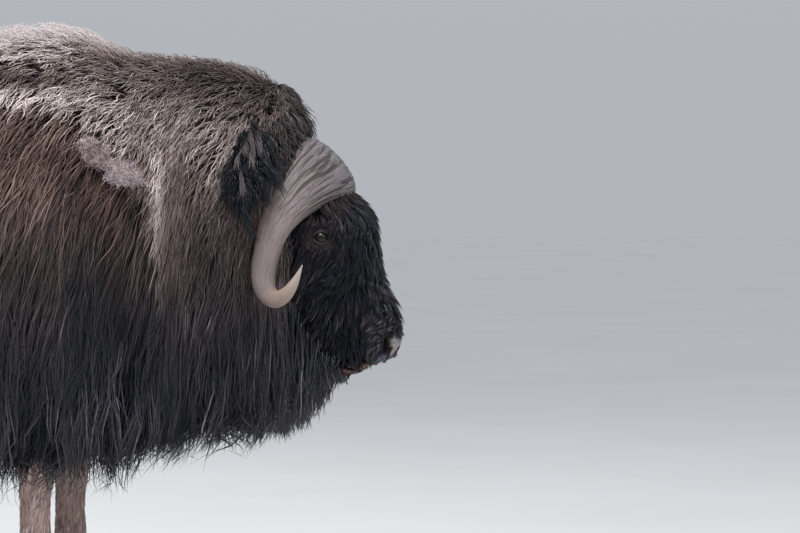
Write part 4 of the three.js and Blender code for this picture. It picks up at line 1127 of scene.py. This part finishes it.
def make_tail_hair(count=300):
    z, angle = uniform(852, 1010, count), uniform(0, 2 * np.pi, count)
    cos, sin = np.cos(angle), np.sin(angle)
    roots = on_ring(0, 0, TAIL, z, cos, sin, TAIL_SKIN)
    uv = in_box((1015 - z) / 165, angle / (2 * np.pi), UV_TAIL)
    tips = roots + joined(uniform(-12, 4, count), normal(0, 8, count), -uniform(60, 130, count))
    width, tone = uniform(3, 5, count), 0.2 + 0.1 * uniform(0, 1, count)
    hanging("tail_hair", roots, tips, joined(4 * cos, 8 * sin, 0), width, uv, tone, rings=5)


# Loose lumps of shed wool caught on the mantle's rear edge: run, height, half length and number of fibres.
LOOSE_WOOL = [(414, 1122, 26, 380), (434, 1094, 30, 500), (452, 1112, 15, 170), (460, 1078, 18, 220),
              (490, 1056, 33, 560), (520, 1044, 22, 320)]
UV_LUMP = [(0.91 + 0.012 * i, 0.02, 0.01, 0.05) for i in range(len(LOOSE_WOOL))]


def make_loose_wool():
    """Soft cottony lumps, each a puffed body with fine fibres that curl out of it."""
    paths, tones, uvs, lumps = [], [], [], []
    for box, (run, height, size, count) in zip(UV_LUMP, LOOSE_WOOL):
        run = np.array([float(run)])
        shares = np.linspace(0, 0.6, 200)
        share = np.interp([-height], -trunk(run, shares, 1.0, RIGHT)[:, 2], shares)
        centre = trunk(run, share, 1.02, RIGHT)[0]
        ball = ball_grid(30, 44)
        puff = np.array([[noise.fractal(Vector(d * 1.9 + run * 0.1), 0.6, 2.3, 5) for d in ring]
                         for ring in ball])
        lump_size = np.array([size, size * 0.34, size * 0.8])
        shape = centre + ball * np.clip(0.84 + 0.42 * puff[..., None], 0.4, 1.4) * lump_size
        lumps.append(tube("wool_lumps", shape, box))
        d = unit(normal(0, 1, (count, 3)))
        root = centre + d * lump_size * 0.85
        heading = unit(np.cross(d, normal(0, 1, (count, 3))) + 0.5 * d)
        turn = unit(normal(0, 1, (count, 3)) - 0.4 * d)
        s = np.linspace(0, 1, 5)[None, :, None]
        bend = uniform(1.5, 4.0, (count, 1, 1))
        length = size * uniform(0.4, 1.15, (count, 1, 1))
        arc = np.sin(bend * s) * heading[:, None] + (1 - np.cos(bend * s)) * turn[:, None]
        paths.append(root[:, None] + length * arc / bend)
        tones.append(uniform(0.52, 0.76, count) + 0.18 * (run > 445))
        uvs.append(trunk_uv(run, share, RIGHT) + uniform(-0.01, 0.01, (count, 2)))
    paths = np.concatenate(paths)
    count = len(paths)
    across = unit(np.cross(np.gradient(paths, axis=1), normal(0, 1, (count, 1, 3))))
    values = hair_values(np.concatenate(tones), 0.0, 2.0, count)
    width, thick = np.full(count, 1.3), np.full(count, 0.7)
    strands("loose_wool", paths, across, width, thick, np.concatenate(uvs), values)
    lump = union(lumps[0], lumps[1:])
    for key, value in (("tone", 0.66), ("warm", 0), ("vary", 0.4), ("mantle", 2), ("along", 0.8)):
        set_attribute(lump, key, np.full(len(lump.data.vertices), value))
    PIECES.append(lump)


def make_wisps(side_name, count=380):
    """Fine wisps that break the outline of the hump and the crest."""
    side = SIDES[side_name]
    run = uniform(-60, 840, count)
    share = np.abs(normal(0, 0.07, count))
    length = (uniform(40, 105, count) * np.where(run > 520, 0.5, 1))[:, None]
    s = np.linspace(0, 1, 8)[None, :]
    lean = uniform(0.5, 1.1, (count, 1))
    runs = run[:, None] - length * s * np.sin(lean)
    shares = share[:, None] + length * s * np.cos(lean) / SECTION_MM * uniform(-0.3, 1, (count, 1))
    peak = np.where(run > 520, 1.1, 1.22) + uniform(-0.15, 0.08, count)
    depth = 0.7 + (peak[:, None] - 0.7) * np.sin(np.pi * np.minimum(s * 0.75 + 0.05, 0.62))
    paths = trunk(runs, shares, depth, side)
    curl = 5.0 * np.sin(uniform(0, 2 * np.pi, (count, 1)) + s * length / 10) * s
    paths[..., 1] += curl
    paths[..., 2] += 0.6 * np.roll(curl, 1, 1)
    across = unit(np.cross(np.gradient(paths, axis=1), [[[0, 0.3, 1]]]))
    x, z = paths[..., 0], paths[..., 2]
    values = hair_values(np.clip(tone_at(x, z, mantle_at(x, z)) + 0.12, 0, 1), 0.0, 1.3, count)
    width, thick = uniform(2.2, 4.0, count), uniform(1.0, 1.8, count)
    strands(f"wisps_{side_name}", paths, across, width, thick, trunk_uv(run, share, side), values)


# Eyes and hooves

def make_eye(name, side):
    """The eyeball with its raised cornea. The distance from its axis is kept for the iris and pupil."""
    centre, axis, ahead = eye_axes(side)
    grid = ball_grid(46, 64)
    local = grid[..., 2:] * axis + grid[..., :1] * ahead + grid[..., 1:2] * np.array([0, 0, 1])
    off = np.arccos(np.clip(grid[..., 2], -1, 1))
    radius = EYE_RADIUS * 0.985
    cornea = 1 + 0.055 * fade(off, 0.25, 0.75)
    made = tube(name, centre + local * (cornea * radius)[..., None], UV_ALL, first=centre - axis * radius,
                last=centre + axis * EYE_RADIUS * 1.04)
    q = unturned(vertex_places(made)) - centre
    forward, up, outside = (q * ahead).sum(-1), q[:, 2], (q * axis).sum(-1) > 0
    set_attribute(made, "iris", np.where(outside, np.hypot(forward, up) / EYE_RADIUS, 1.2))
    set_attribute(made, "pupil", np.where(outside, np.hypot(forward / 8.5, up / 4.5), 3))
    return made


def make_hoof(name):
    """A cloven hoof: two claws that lean together at the toe, with growth rings."""
    x, y, table = FEET[name]
    _, shift, long, wide = table[-1]
    size = 1 if name.startswith("front") else HIND_SIZE
    z = np.linspace(0, HOOF_TOP_Z - 1, 34)[:, None]
    share = along([(0, 0.96), (5, 1), (16, 1), (40, 0.93), (62, 0.84)], z)
    cos, sin = squared(circle(48)[None, :], 2.6)
    heel, toe = CLAW_HEEL * size, (CLAW_TOE + (long * 0.95 - CLAW_TOE) * z / HOOF_TOP_Z) * size
    ring = 1 + 0.012 * np.sin(z / 2.6) + 0.01 * np.sin(z / 1.3 + 1)
    half = CLAW_HALF * size * share
    centre_x, centre_y = x + shift + (heel + toe) / 2, CLAW_CLEFT + half
    px = centre_x + (toe - heel) / 2 * ring * cos
    ahead = np.maximum((px - centre_x) / (toe - heel), 0)
    py = np.maximum(centre_y + half * ring * sin - CLAW_LEAN * ahead ** 2, CLAW_CLEFT)
    claws = [tube(f"hoof_piece_{name}", joined(px, y + side * py, z), UV_ALL) for side in (1, -1)]
    z = np.linspace(30, HOOF_TOP_Z - 1, 10)[:, None]
    angle = circle(40)[None, :]
    bridge = joined(x + shift - 6 + long * 0.7 * np.cos(angle), y + wide * 0.5 * np.sin(angle), z)
    return union(claws[0], [claws[1], tube("bridge", bridge, UV_ALL)])


# Materials

class Nodes:
    """A small helper that builds one material's node tree."""

    def __init__(self, name, roughness, specular=0.5, sheen=0.0, coat=0.0):
        self.material = bpy.data.materials.new(name)
        self.material.use_nodes = True
        self.tree = self.material.node_tree
        self.shader = self.tree.nodes["Principled BSDF"].inputs
        self.put(self.shader, {"Roughness": roughness, "Specular IOR Level": specular, "Sheen Weight": sheen,
                               "Sheen Roughness": 0.45, "Coat Weight": coat, "Coat Roughness": 0.02})

    def put(self, inputs, values):
        """Links sockets or gives them fixed values, by name or number. A tuple is a colour without alpha."""
        for key, value in dict(values).items():
            if isinstance(value, bpy.types.NodeSocket):
                self.tree.links.new(value, inputs[key])
            else:
                inputs[key].default_value = (*value, 1) if isinstance(value, tuple) else value

    def new(self, kind, values=(), **settings):
        """A node with its settings and sockets."""
        node = self.tree.nodes.new("ShaderNode" + kind)
        for key, value in settings.items():
            setattr(node, key, value)
        self.put(node.inputs, values)
        return node

    def attribute(self, name):
        return self.new("Attribute", attribute_name=name).outputs["Fac"]

    def math(self, operation, a, b=0.0, clamp=False):
        return self.new("Math", enumerate((a, b)), operation=operation, use_clamp=clamp).outputs[0]

    def fit(self, value, low, high, to_low=0.0, to_high=1.0):
        return self.new("MapRange", enumerate((value, low, high, to_low, to_high))).outputs[0]

    def ramp(self, value, stops):
        node = self.new("ValToRGB", {0: value})
        elements = node.color_ramp.elements
        while len(elements) < len(stops):
            elements.new(0.5)
        for element, (place, colour) in zip(elements, stops):
            element.position = place
            element.color = (*colour, 1)
        return node.outputs[0]

    def mix(self, share, a, b, kind="MIX"):
        return self.new("Mix", {0: share, 6: a, 7: b}, data_type="RGBA", blend_type=kind).outputs[2]

    def tint(self, share, colour, factor):
        """The colour multiplied by a factor, as far as the share says."""
        return self.mix(share, colour, self.mix(1.0, colour, factor, "MULTIPLY"))

    def noise(self, scale, detail=3.0, vector=None, roughness=0.55):
        vector = vector or self.new("TexCoord").outputs["Object"]
        return self.new("TexNoise", {"Scale": scale, "Detail": detail, "Roughness": roughness,
                                     "Vector": vector}).outputs[0]

    def bump(self, height, strength, distance):
        node = self.new("Bump", {"Strength": strength, "Distance": distance, "Height": height})
        self.put(self.shader, {"Normal": node.outputs[0]})

    def colour(self, value):
        self.put(self.shader, {"Base Color": value})
        return self.material


# From black guard hair over brown to pale wool. Its black end is tinted blue as painted sky sheen.
HAIR_RAMP = [(0.0, (0.0045, 0.005, 0.0078)), (0.12, (0.0135, 0.0125, 0.0165)), (0.3, (0.060, 0.038, 0.036)),
             (0.5, (0.155, 0.108, 0.095)), (0.72, (0.37, 0.29, 0.26)), (1.0, (0.82, 0.73, 0.70))]
RUST = (1.32, 0.94, 0.80)
# Painted sky sheen: hair whose warm value falls below 0 is tinted blue by this factor, standing in for the
# sky's reflection.
PAINTED_SKY_SHEEN = (0.78, 1.02, 1.42)
LILAC = (1.02, 0.97, 1.1)


def hair_material(name, specular, sheen):
    """Hair with painted shade that darkens each strand towards its root, and a painted blue sky sheen where
    warm is below 0. Mantle is 1 on short wool, and up to 2 on pale cottony fibre.
    """
    n = Nodes(name, roughness=0.42, specular=specular, sheen=sheen)
    patch = n.fit(n.noise(7.0, 4.0), 0.3, 0.7, -0.06, 0.06)
    strand = n.fit(n.attribute("vary"), 0, 1, -0.06, 0.09)
    tip = n.fit(n.attribute("along"), 0.2, 1, -0.03, 0.08)
    tone = n.math("ADD", n.math("ADD", n.attribute("tone"), patch), n.math("ADD", strand, tip), clamp=True)
    warm, mantle = n.attribute("warm"), n.attribute("mantle")
    colour = n.tint(warm, n.ramp(tone, HAIR_RAMP), RUST)
    # Painted sky sheen: a negative warm value tints the hair blue.
    colour = n.tint(n.fit(warm, 0, -1), colour, PAINTED_SKY_SHEEN)
    colour = n.tint(n.fit(mantle, 1, 2, 0, 0.8), colour, LILAC)
    # Painted shade: each strand darkens towards its root, as shade deep in the coat; less on wool, least on
    # loose fibre.
    painted_root_shade = n.math("ADD", n.fit(mantle, 0, 1, 0.3, 0.62), n.fit(mantle, 1, 1.2, 0, 0.3))
    colour = n.mix(n.fit(n.attribute("along"), 0, 0.5, painted_root_shade, 1), (0, 0, 0), colour)
    n.put(n.shader, {"Roughness": n.fit(tone, 0.08, 0.55, 0.29, 0.72)})
    n.bump(n.noise(900.0, 2.0), 0.25, 0.0006)
    return n.colour(colour)


def skin_material():
    """Undercoat on the body, and bare skin at the nose, lips, lids and ears."""
    n = Nodes("hide", roughness=0.7, specular=0.16)
    fibre = n.noise(260.0, 5.0)
    # Painted shade: the tone is halved so that skin seen between the hairs reads as shadow.
    tone = n.math("MULTIPLY", n.attribute("tone"), 0.5)
    tone = n.math("ADD", tone, n.fit(fibre, 0.3, 0.7, -0.05, 0.05), clamp=True)
    colour = n.tint(n.attribute("warm"), n.ramp(tone, HAIR_RAMP), RUST)
    speckle = n.fit(n.noise(170.0, 3.0), 0.42, 0.62)
    # Painted light: the front rim of the nose pad gets a painted blue-white sky reflection, and the lip's own
    # grey is tinted blue as painted sky sheen.
    for place, dark, pale in (("pad", (0.21, 0.15, 0.12), (0.42, 0.335, 0.28)),
                              ("pad_rim_sheen", (0.20, 0.21, 0.24), (0.40, 0.41, 0.45)),
                              ("lip", (0.05, 0.055, 0.07), (0.13, 0.15, 0.19))):
        colour = n.mix(n.attribute(place), colour, n.mix(speckle, dark, pale))
    # Painted shade: near black inside the nostril.
    colour = n.mix(n.attribute("dark"), colour, (0.006, 0.005, 0.006))
    n.bump(n.math("ADD", fibre, n.math("MULTIPLY", n.noise(620.0, 2.0), 0.5)), 0.5, 0.0015)
    return n.colour(colour)


# The horn's colours from the boss to the tip.
HORN_RAMP = [(0.0, (0.20, 0.172, 0.18)), (0.2, (0.21, 0.172, 0.168)), (0.4, (0.32, 0.25, 0.232)),
             (0.55, (0.225, 0.176, 0.17)), (0.66, (0.22, 0.168, 0.156)), (0.76, (0.34, 0.245, 0.195)),
             (0.88, (0.47, 0.35, 0.275)), (1.0, (0.62, 0.54, 0.47))]


def horn_material():
    """Horn with grain along it, rough and stained at the boss and smooth towards the tip."""
    n = Nodes("horn", roughness=0.46, specular=0.45)
    station = n.attribute("station")
    around = [n.math("MULTIPLY", n.attribute(name), 9.0) for name in ("round_cos", "round_sin")]
    grain = n.new("CombineXYZ", enumerate((*around, n.math("MULTIPLY", station, 0.55)))).outputs[0]
    fine, splinters = n.noise(2.4, 6.0, grain, 0.7), n.noise(8.0, 4.0, grain, 0.6)
    dashes = n.noise(3.6, 2.0, grain, 0.5)
    boss = n.fit(station, 4.0, 7.0, 1, 0.3)
    on_boss = lambda value, *limits: n.math("MULTIPLY", n.fit(value, *limits), boss)
    colour = n.ramp(n.math("MULTIPLY", station, 1 / (len(HORN) - 1)), HORN_RAMP)
    dark = n.mix(1.0, colour, (0.30, 0.25, 0.24), "MULTIPLY")
    pale = n.mix(1.0, colour, (1.35, 1.3, 1.25), "MULTIPLY")
    colour = n.mix(on_boss(fine, 0.52, 0.62, 0, 0.7), colour, pale)
    colour = n.mix(on_boss(fine, 0.36, 0.5, 0.85, 0), colour, dark)
    colour = n.mix(on_boss(dashes, 0.34, 0.42, 0.9, 0), colour, dark)
    colour = n.tint(n.fit(n.noise(0.45, 3.0, grain), 0.45, 0.7, 0, 0.6), colour, (0.88, 1.0, 1.2))
    colour = n.tint(n.fit(n.noise(0.9, 4.0, grain, 0.6), 0.5, 0.68, 0, 0.7), colour, (0.68, 0.56, 0.53))
    colour = n.mix(n.fit(n.attribute("relief"), -0.4, -1.2, 0, 0.85), colour, (0.03, 0.022, 0.02))
    colour = n.mix(on_boss(splinters, 0.36, 0.46, 0.7, 0), colour, dark)
    n.bump(n.math("ADD", fine, n.math("MULTIPLY", splinters, 0.6)), 0.7, 0.0022)
    return n.colour(colour)


def eye_material():
    n = Nodes("eye", roughness=0.35, specular=0.05, coat=0.6)
    n.put(n.shader, {"Coat IOR": 1.52})
    iris, pupil = n.attribute("iris"), n.attribute("pupil")
    colour = n.mix(n.fit(n.noise(420.0, 3.0), 0.35, 0.65), (0.006, 0.004, 0.003), (0.018, 0.010, 0.006))
    colour = n.mix(n.fit(iris, 0.6, 0.72), colour, (0.012, 0.008, 0.008))
    colour = n.mix(n.fit(iris, 0.84, 0.97), colour, (0.05, 0.03, 0.026))
    return n.colour(n.mix(n.fit(pupil, 1.1, 0.9), colour, (0.002, 0.002, 0.003)))


def hoof_material():
    n = Nodes("hoof", roughness=0.5, specular=0.4)
    n.bump(n.noise(210.0, 3.0), 0.4, 0.001)
    return n.colour(n.mix(n.fit(n.noise(38.0, 4.0), 0.35, 0.7), (0.022, 0.018, 0.016), (0.085, 0.07, 0.058)))


def floor_material():
    n = Nodes("floor", roughness=0.75, specular=0.2)
    return n.colour(n.mix(n.fit(n.noise(1.3, 2.0), 0.3, 0.7), (0.66, 0.66, 0.65), (0.69, 0.69, 0.68)))


def give(obj, material):
    """Finishes a piece: its material and the body that it rides on."""
    obj.data.materials.clear()
    obj.data.materials.append(material)
    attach(obj, "root")


# Everything is made in this order, because the random draws follow it

skin = make_skin()
SKIN_TREE = BVHTree.FromObject(skin, bpy.context.evaluated_depsgraph_get())
head_only = head_skin()
HEAD_TREE = BVHTree.FromObject(head_only, bpy.context.evaluated_depsgraph_get())
bpy.data.objects.remove(head_only)
mark_skin(skin)
give(skin, skin_material())
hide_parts("head", "neck", "shoulder_right", "shoulder_left", "flank_right", "flank_left",
            "rump_right", "rump_left", "tail", "leg_front_right", "leg_front_left", "leg_hind_right",
            "leg_hind_left", "ear_right", "ear_left")

# Stretches of the long coat: side, runs, clump spacing, strands in each clump, their width and rings.
COAT = {
    "coat_crest_right": ("right", (700, 1090), 34.5, 14, 3.9, 5),
    "coat_neck_right": ("right", (520, 700), 28, 15, 3.5, 5),
    "coat_shoulder_right": ("right", (320, 520), 30, 15, 3.7, 5),
    "coat_side_right": ("right", (100, 320), 31.5, 14, 4.0, 5),
    "coat_flank_right": ("right", (-420, 100), 54, 14, 8.5, 4),
    "coat_rump_right": ("right", (-1388, -420), 69, 14, 10, 4),
    "coat_neck_left": ("left", (560, 1090), 52, 15, 8.2, 4),
    "coat_shoulder_left": ("left", (120, 560), 58, 15, 8.8, 4),
    "coat_flank_left": ("left", (-420, 120), 66, 14, 10, 4),
    "coat_rump_left": ("left", (-1388, -420), 78, 14, 11, 4),
}
for name, (side_name, *sizes) in COAT.items():
    coat(name, SIDES[side_name], *sizes)
for side_name in SIDES:
    make_face(side_name)
    make_beard(side_name)
    make_ear_hair(side_name)
    make_wisps(side_name)
make_poll()
make_loose_wool()
make_tail_hair()
for name in FEET:
    make_leg_fur(name)

# The material for each start of a piece's name; the other pieces of hair are plain coat.
hair, black_hair = hair_material("hair", 0.7, 0.05), hair_material("black_hair", 0.45, 0.0)
for piece in PIECES:
    give(piece, black_hair if piece.name.startswith(("face", "ear")) else hair)

horn, eye, hoof = horn_material(), eye_material(), hoof_material()
for side_name, side in SIDES.items():
    made = make_horn(f"horn_piece_{side_name}", side)
    give(made, horn)
    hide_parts(f"horn_{side_name}")
    made = make_eye(f"eye_piece_{side_name}", side)
    give(made, eye)
    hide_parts(f"eye_{side_name}")
for name in FEET:
    made = make_hoof(name)
    give(made, hoof)
    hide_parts(f"hoof_{name}")

# Stage, lights and camera

SKY_COLOUR, HORIZON, ZENITH = (0.89, 0.935, 1.0, 1), 0.50, 0.82
# The photo's frame on the animal's near side: its middle and width in straight millimetres.
FRAME_X, FRAME_Y, FRAME_Z, FRAME_WIDTH = 1155, -250, 831, 1920
# The camera's distance in metres, its height angle, and its sensor's width in millimetres.
DISTANCE, ELEVATION, SENSOR = 14.0, math.radians(2), 36


def studio_world():
    """A pale sky, brighter overhead."""
    world = bpy.data.worlds.new("studio")
    world.use_nodes = True
    tree = world.node_tree
    background = tree.nodes["Background"]
    background.inputs["Color"].default_value = SKY_COLOUR
    split = tree.nodes.new("ShaderNodeSeparateXYZ")
    rise = tree.nodes.new("ShaderNodeMapRange")
    rise.inputs["To Min"].default_value, rise.inputs["To Max"].default_value = HORIZON, ZENITH
    tree.links.new(tree.nodes.new("ShaderNodeTexCoord").outputs["Generated"], split.inputs[0])
    tree.links.new(split.outputs["Z"], rise.inputs["Value"])
    tree.links.new(rise.outputs[0], background.inputs["Strength"])
    return world


def aim(obj, place, heading):
    """Puts a light or camera in the scene, looking along a heading."""
    bpy.context.scene.collection.objects.link(obj)
    obj.location = place
    obj.rotation_euler = Vector(heading).to_track_quat("-Z", "Y").to_euler()


def softbox(name, place, target, size, watts, colour):
    data = bpy.data.lights.new(name, "AREA")
    data.energy, data.size, data.color = watts, size, colour
    aim(bpy.data.objects.new(name, data), place, Vector(target) - Vector(place))


bpy.ops.mesh.primitive_plane_add(size=60)
floor = bpy.context.object
floor.name = "floor"
floor.data.materials.append(floor_material())
softbox("sky", (-0.2, -2.2, 5.5), (0, 0, 0.8), 2.6, 235, (0.97, 0.98, 1))
softbox("front", (3.6, -4.5, 3.8), (0.5, 0, 0.8), 1.3, 68, (0.92, 0.96, 1))
softbox("rear", (-3.0, 4.5, 4.0), (0, 0, 0.9), 3.0, 110, (0.97, 0.98, 1))
camera = bpy.data.objects.new("camera", bpy.data.cameras.new("camera"))
camera.data.sensor_width = SENSOR
camera.data.lens = SENSOR * DISTANCE / (FRAME_WIDTH * MM)
camera.data.clip_end = 100
back = np.array([0, -math.cos(ELEVATION), math.sin(ELEVATION)])
aim(camera, np.array([FRAME_X, FRAME_Y, FRAME_Z]) * MM + SHIFT + back * DISTANCE, -back)
scene = bpy.context.scene
scene.world = studio_world()
scene.camera = camera
scene.view_settings.view_transform = "Standard"
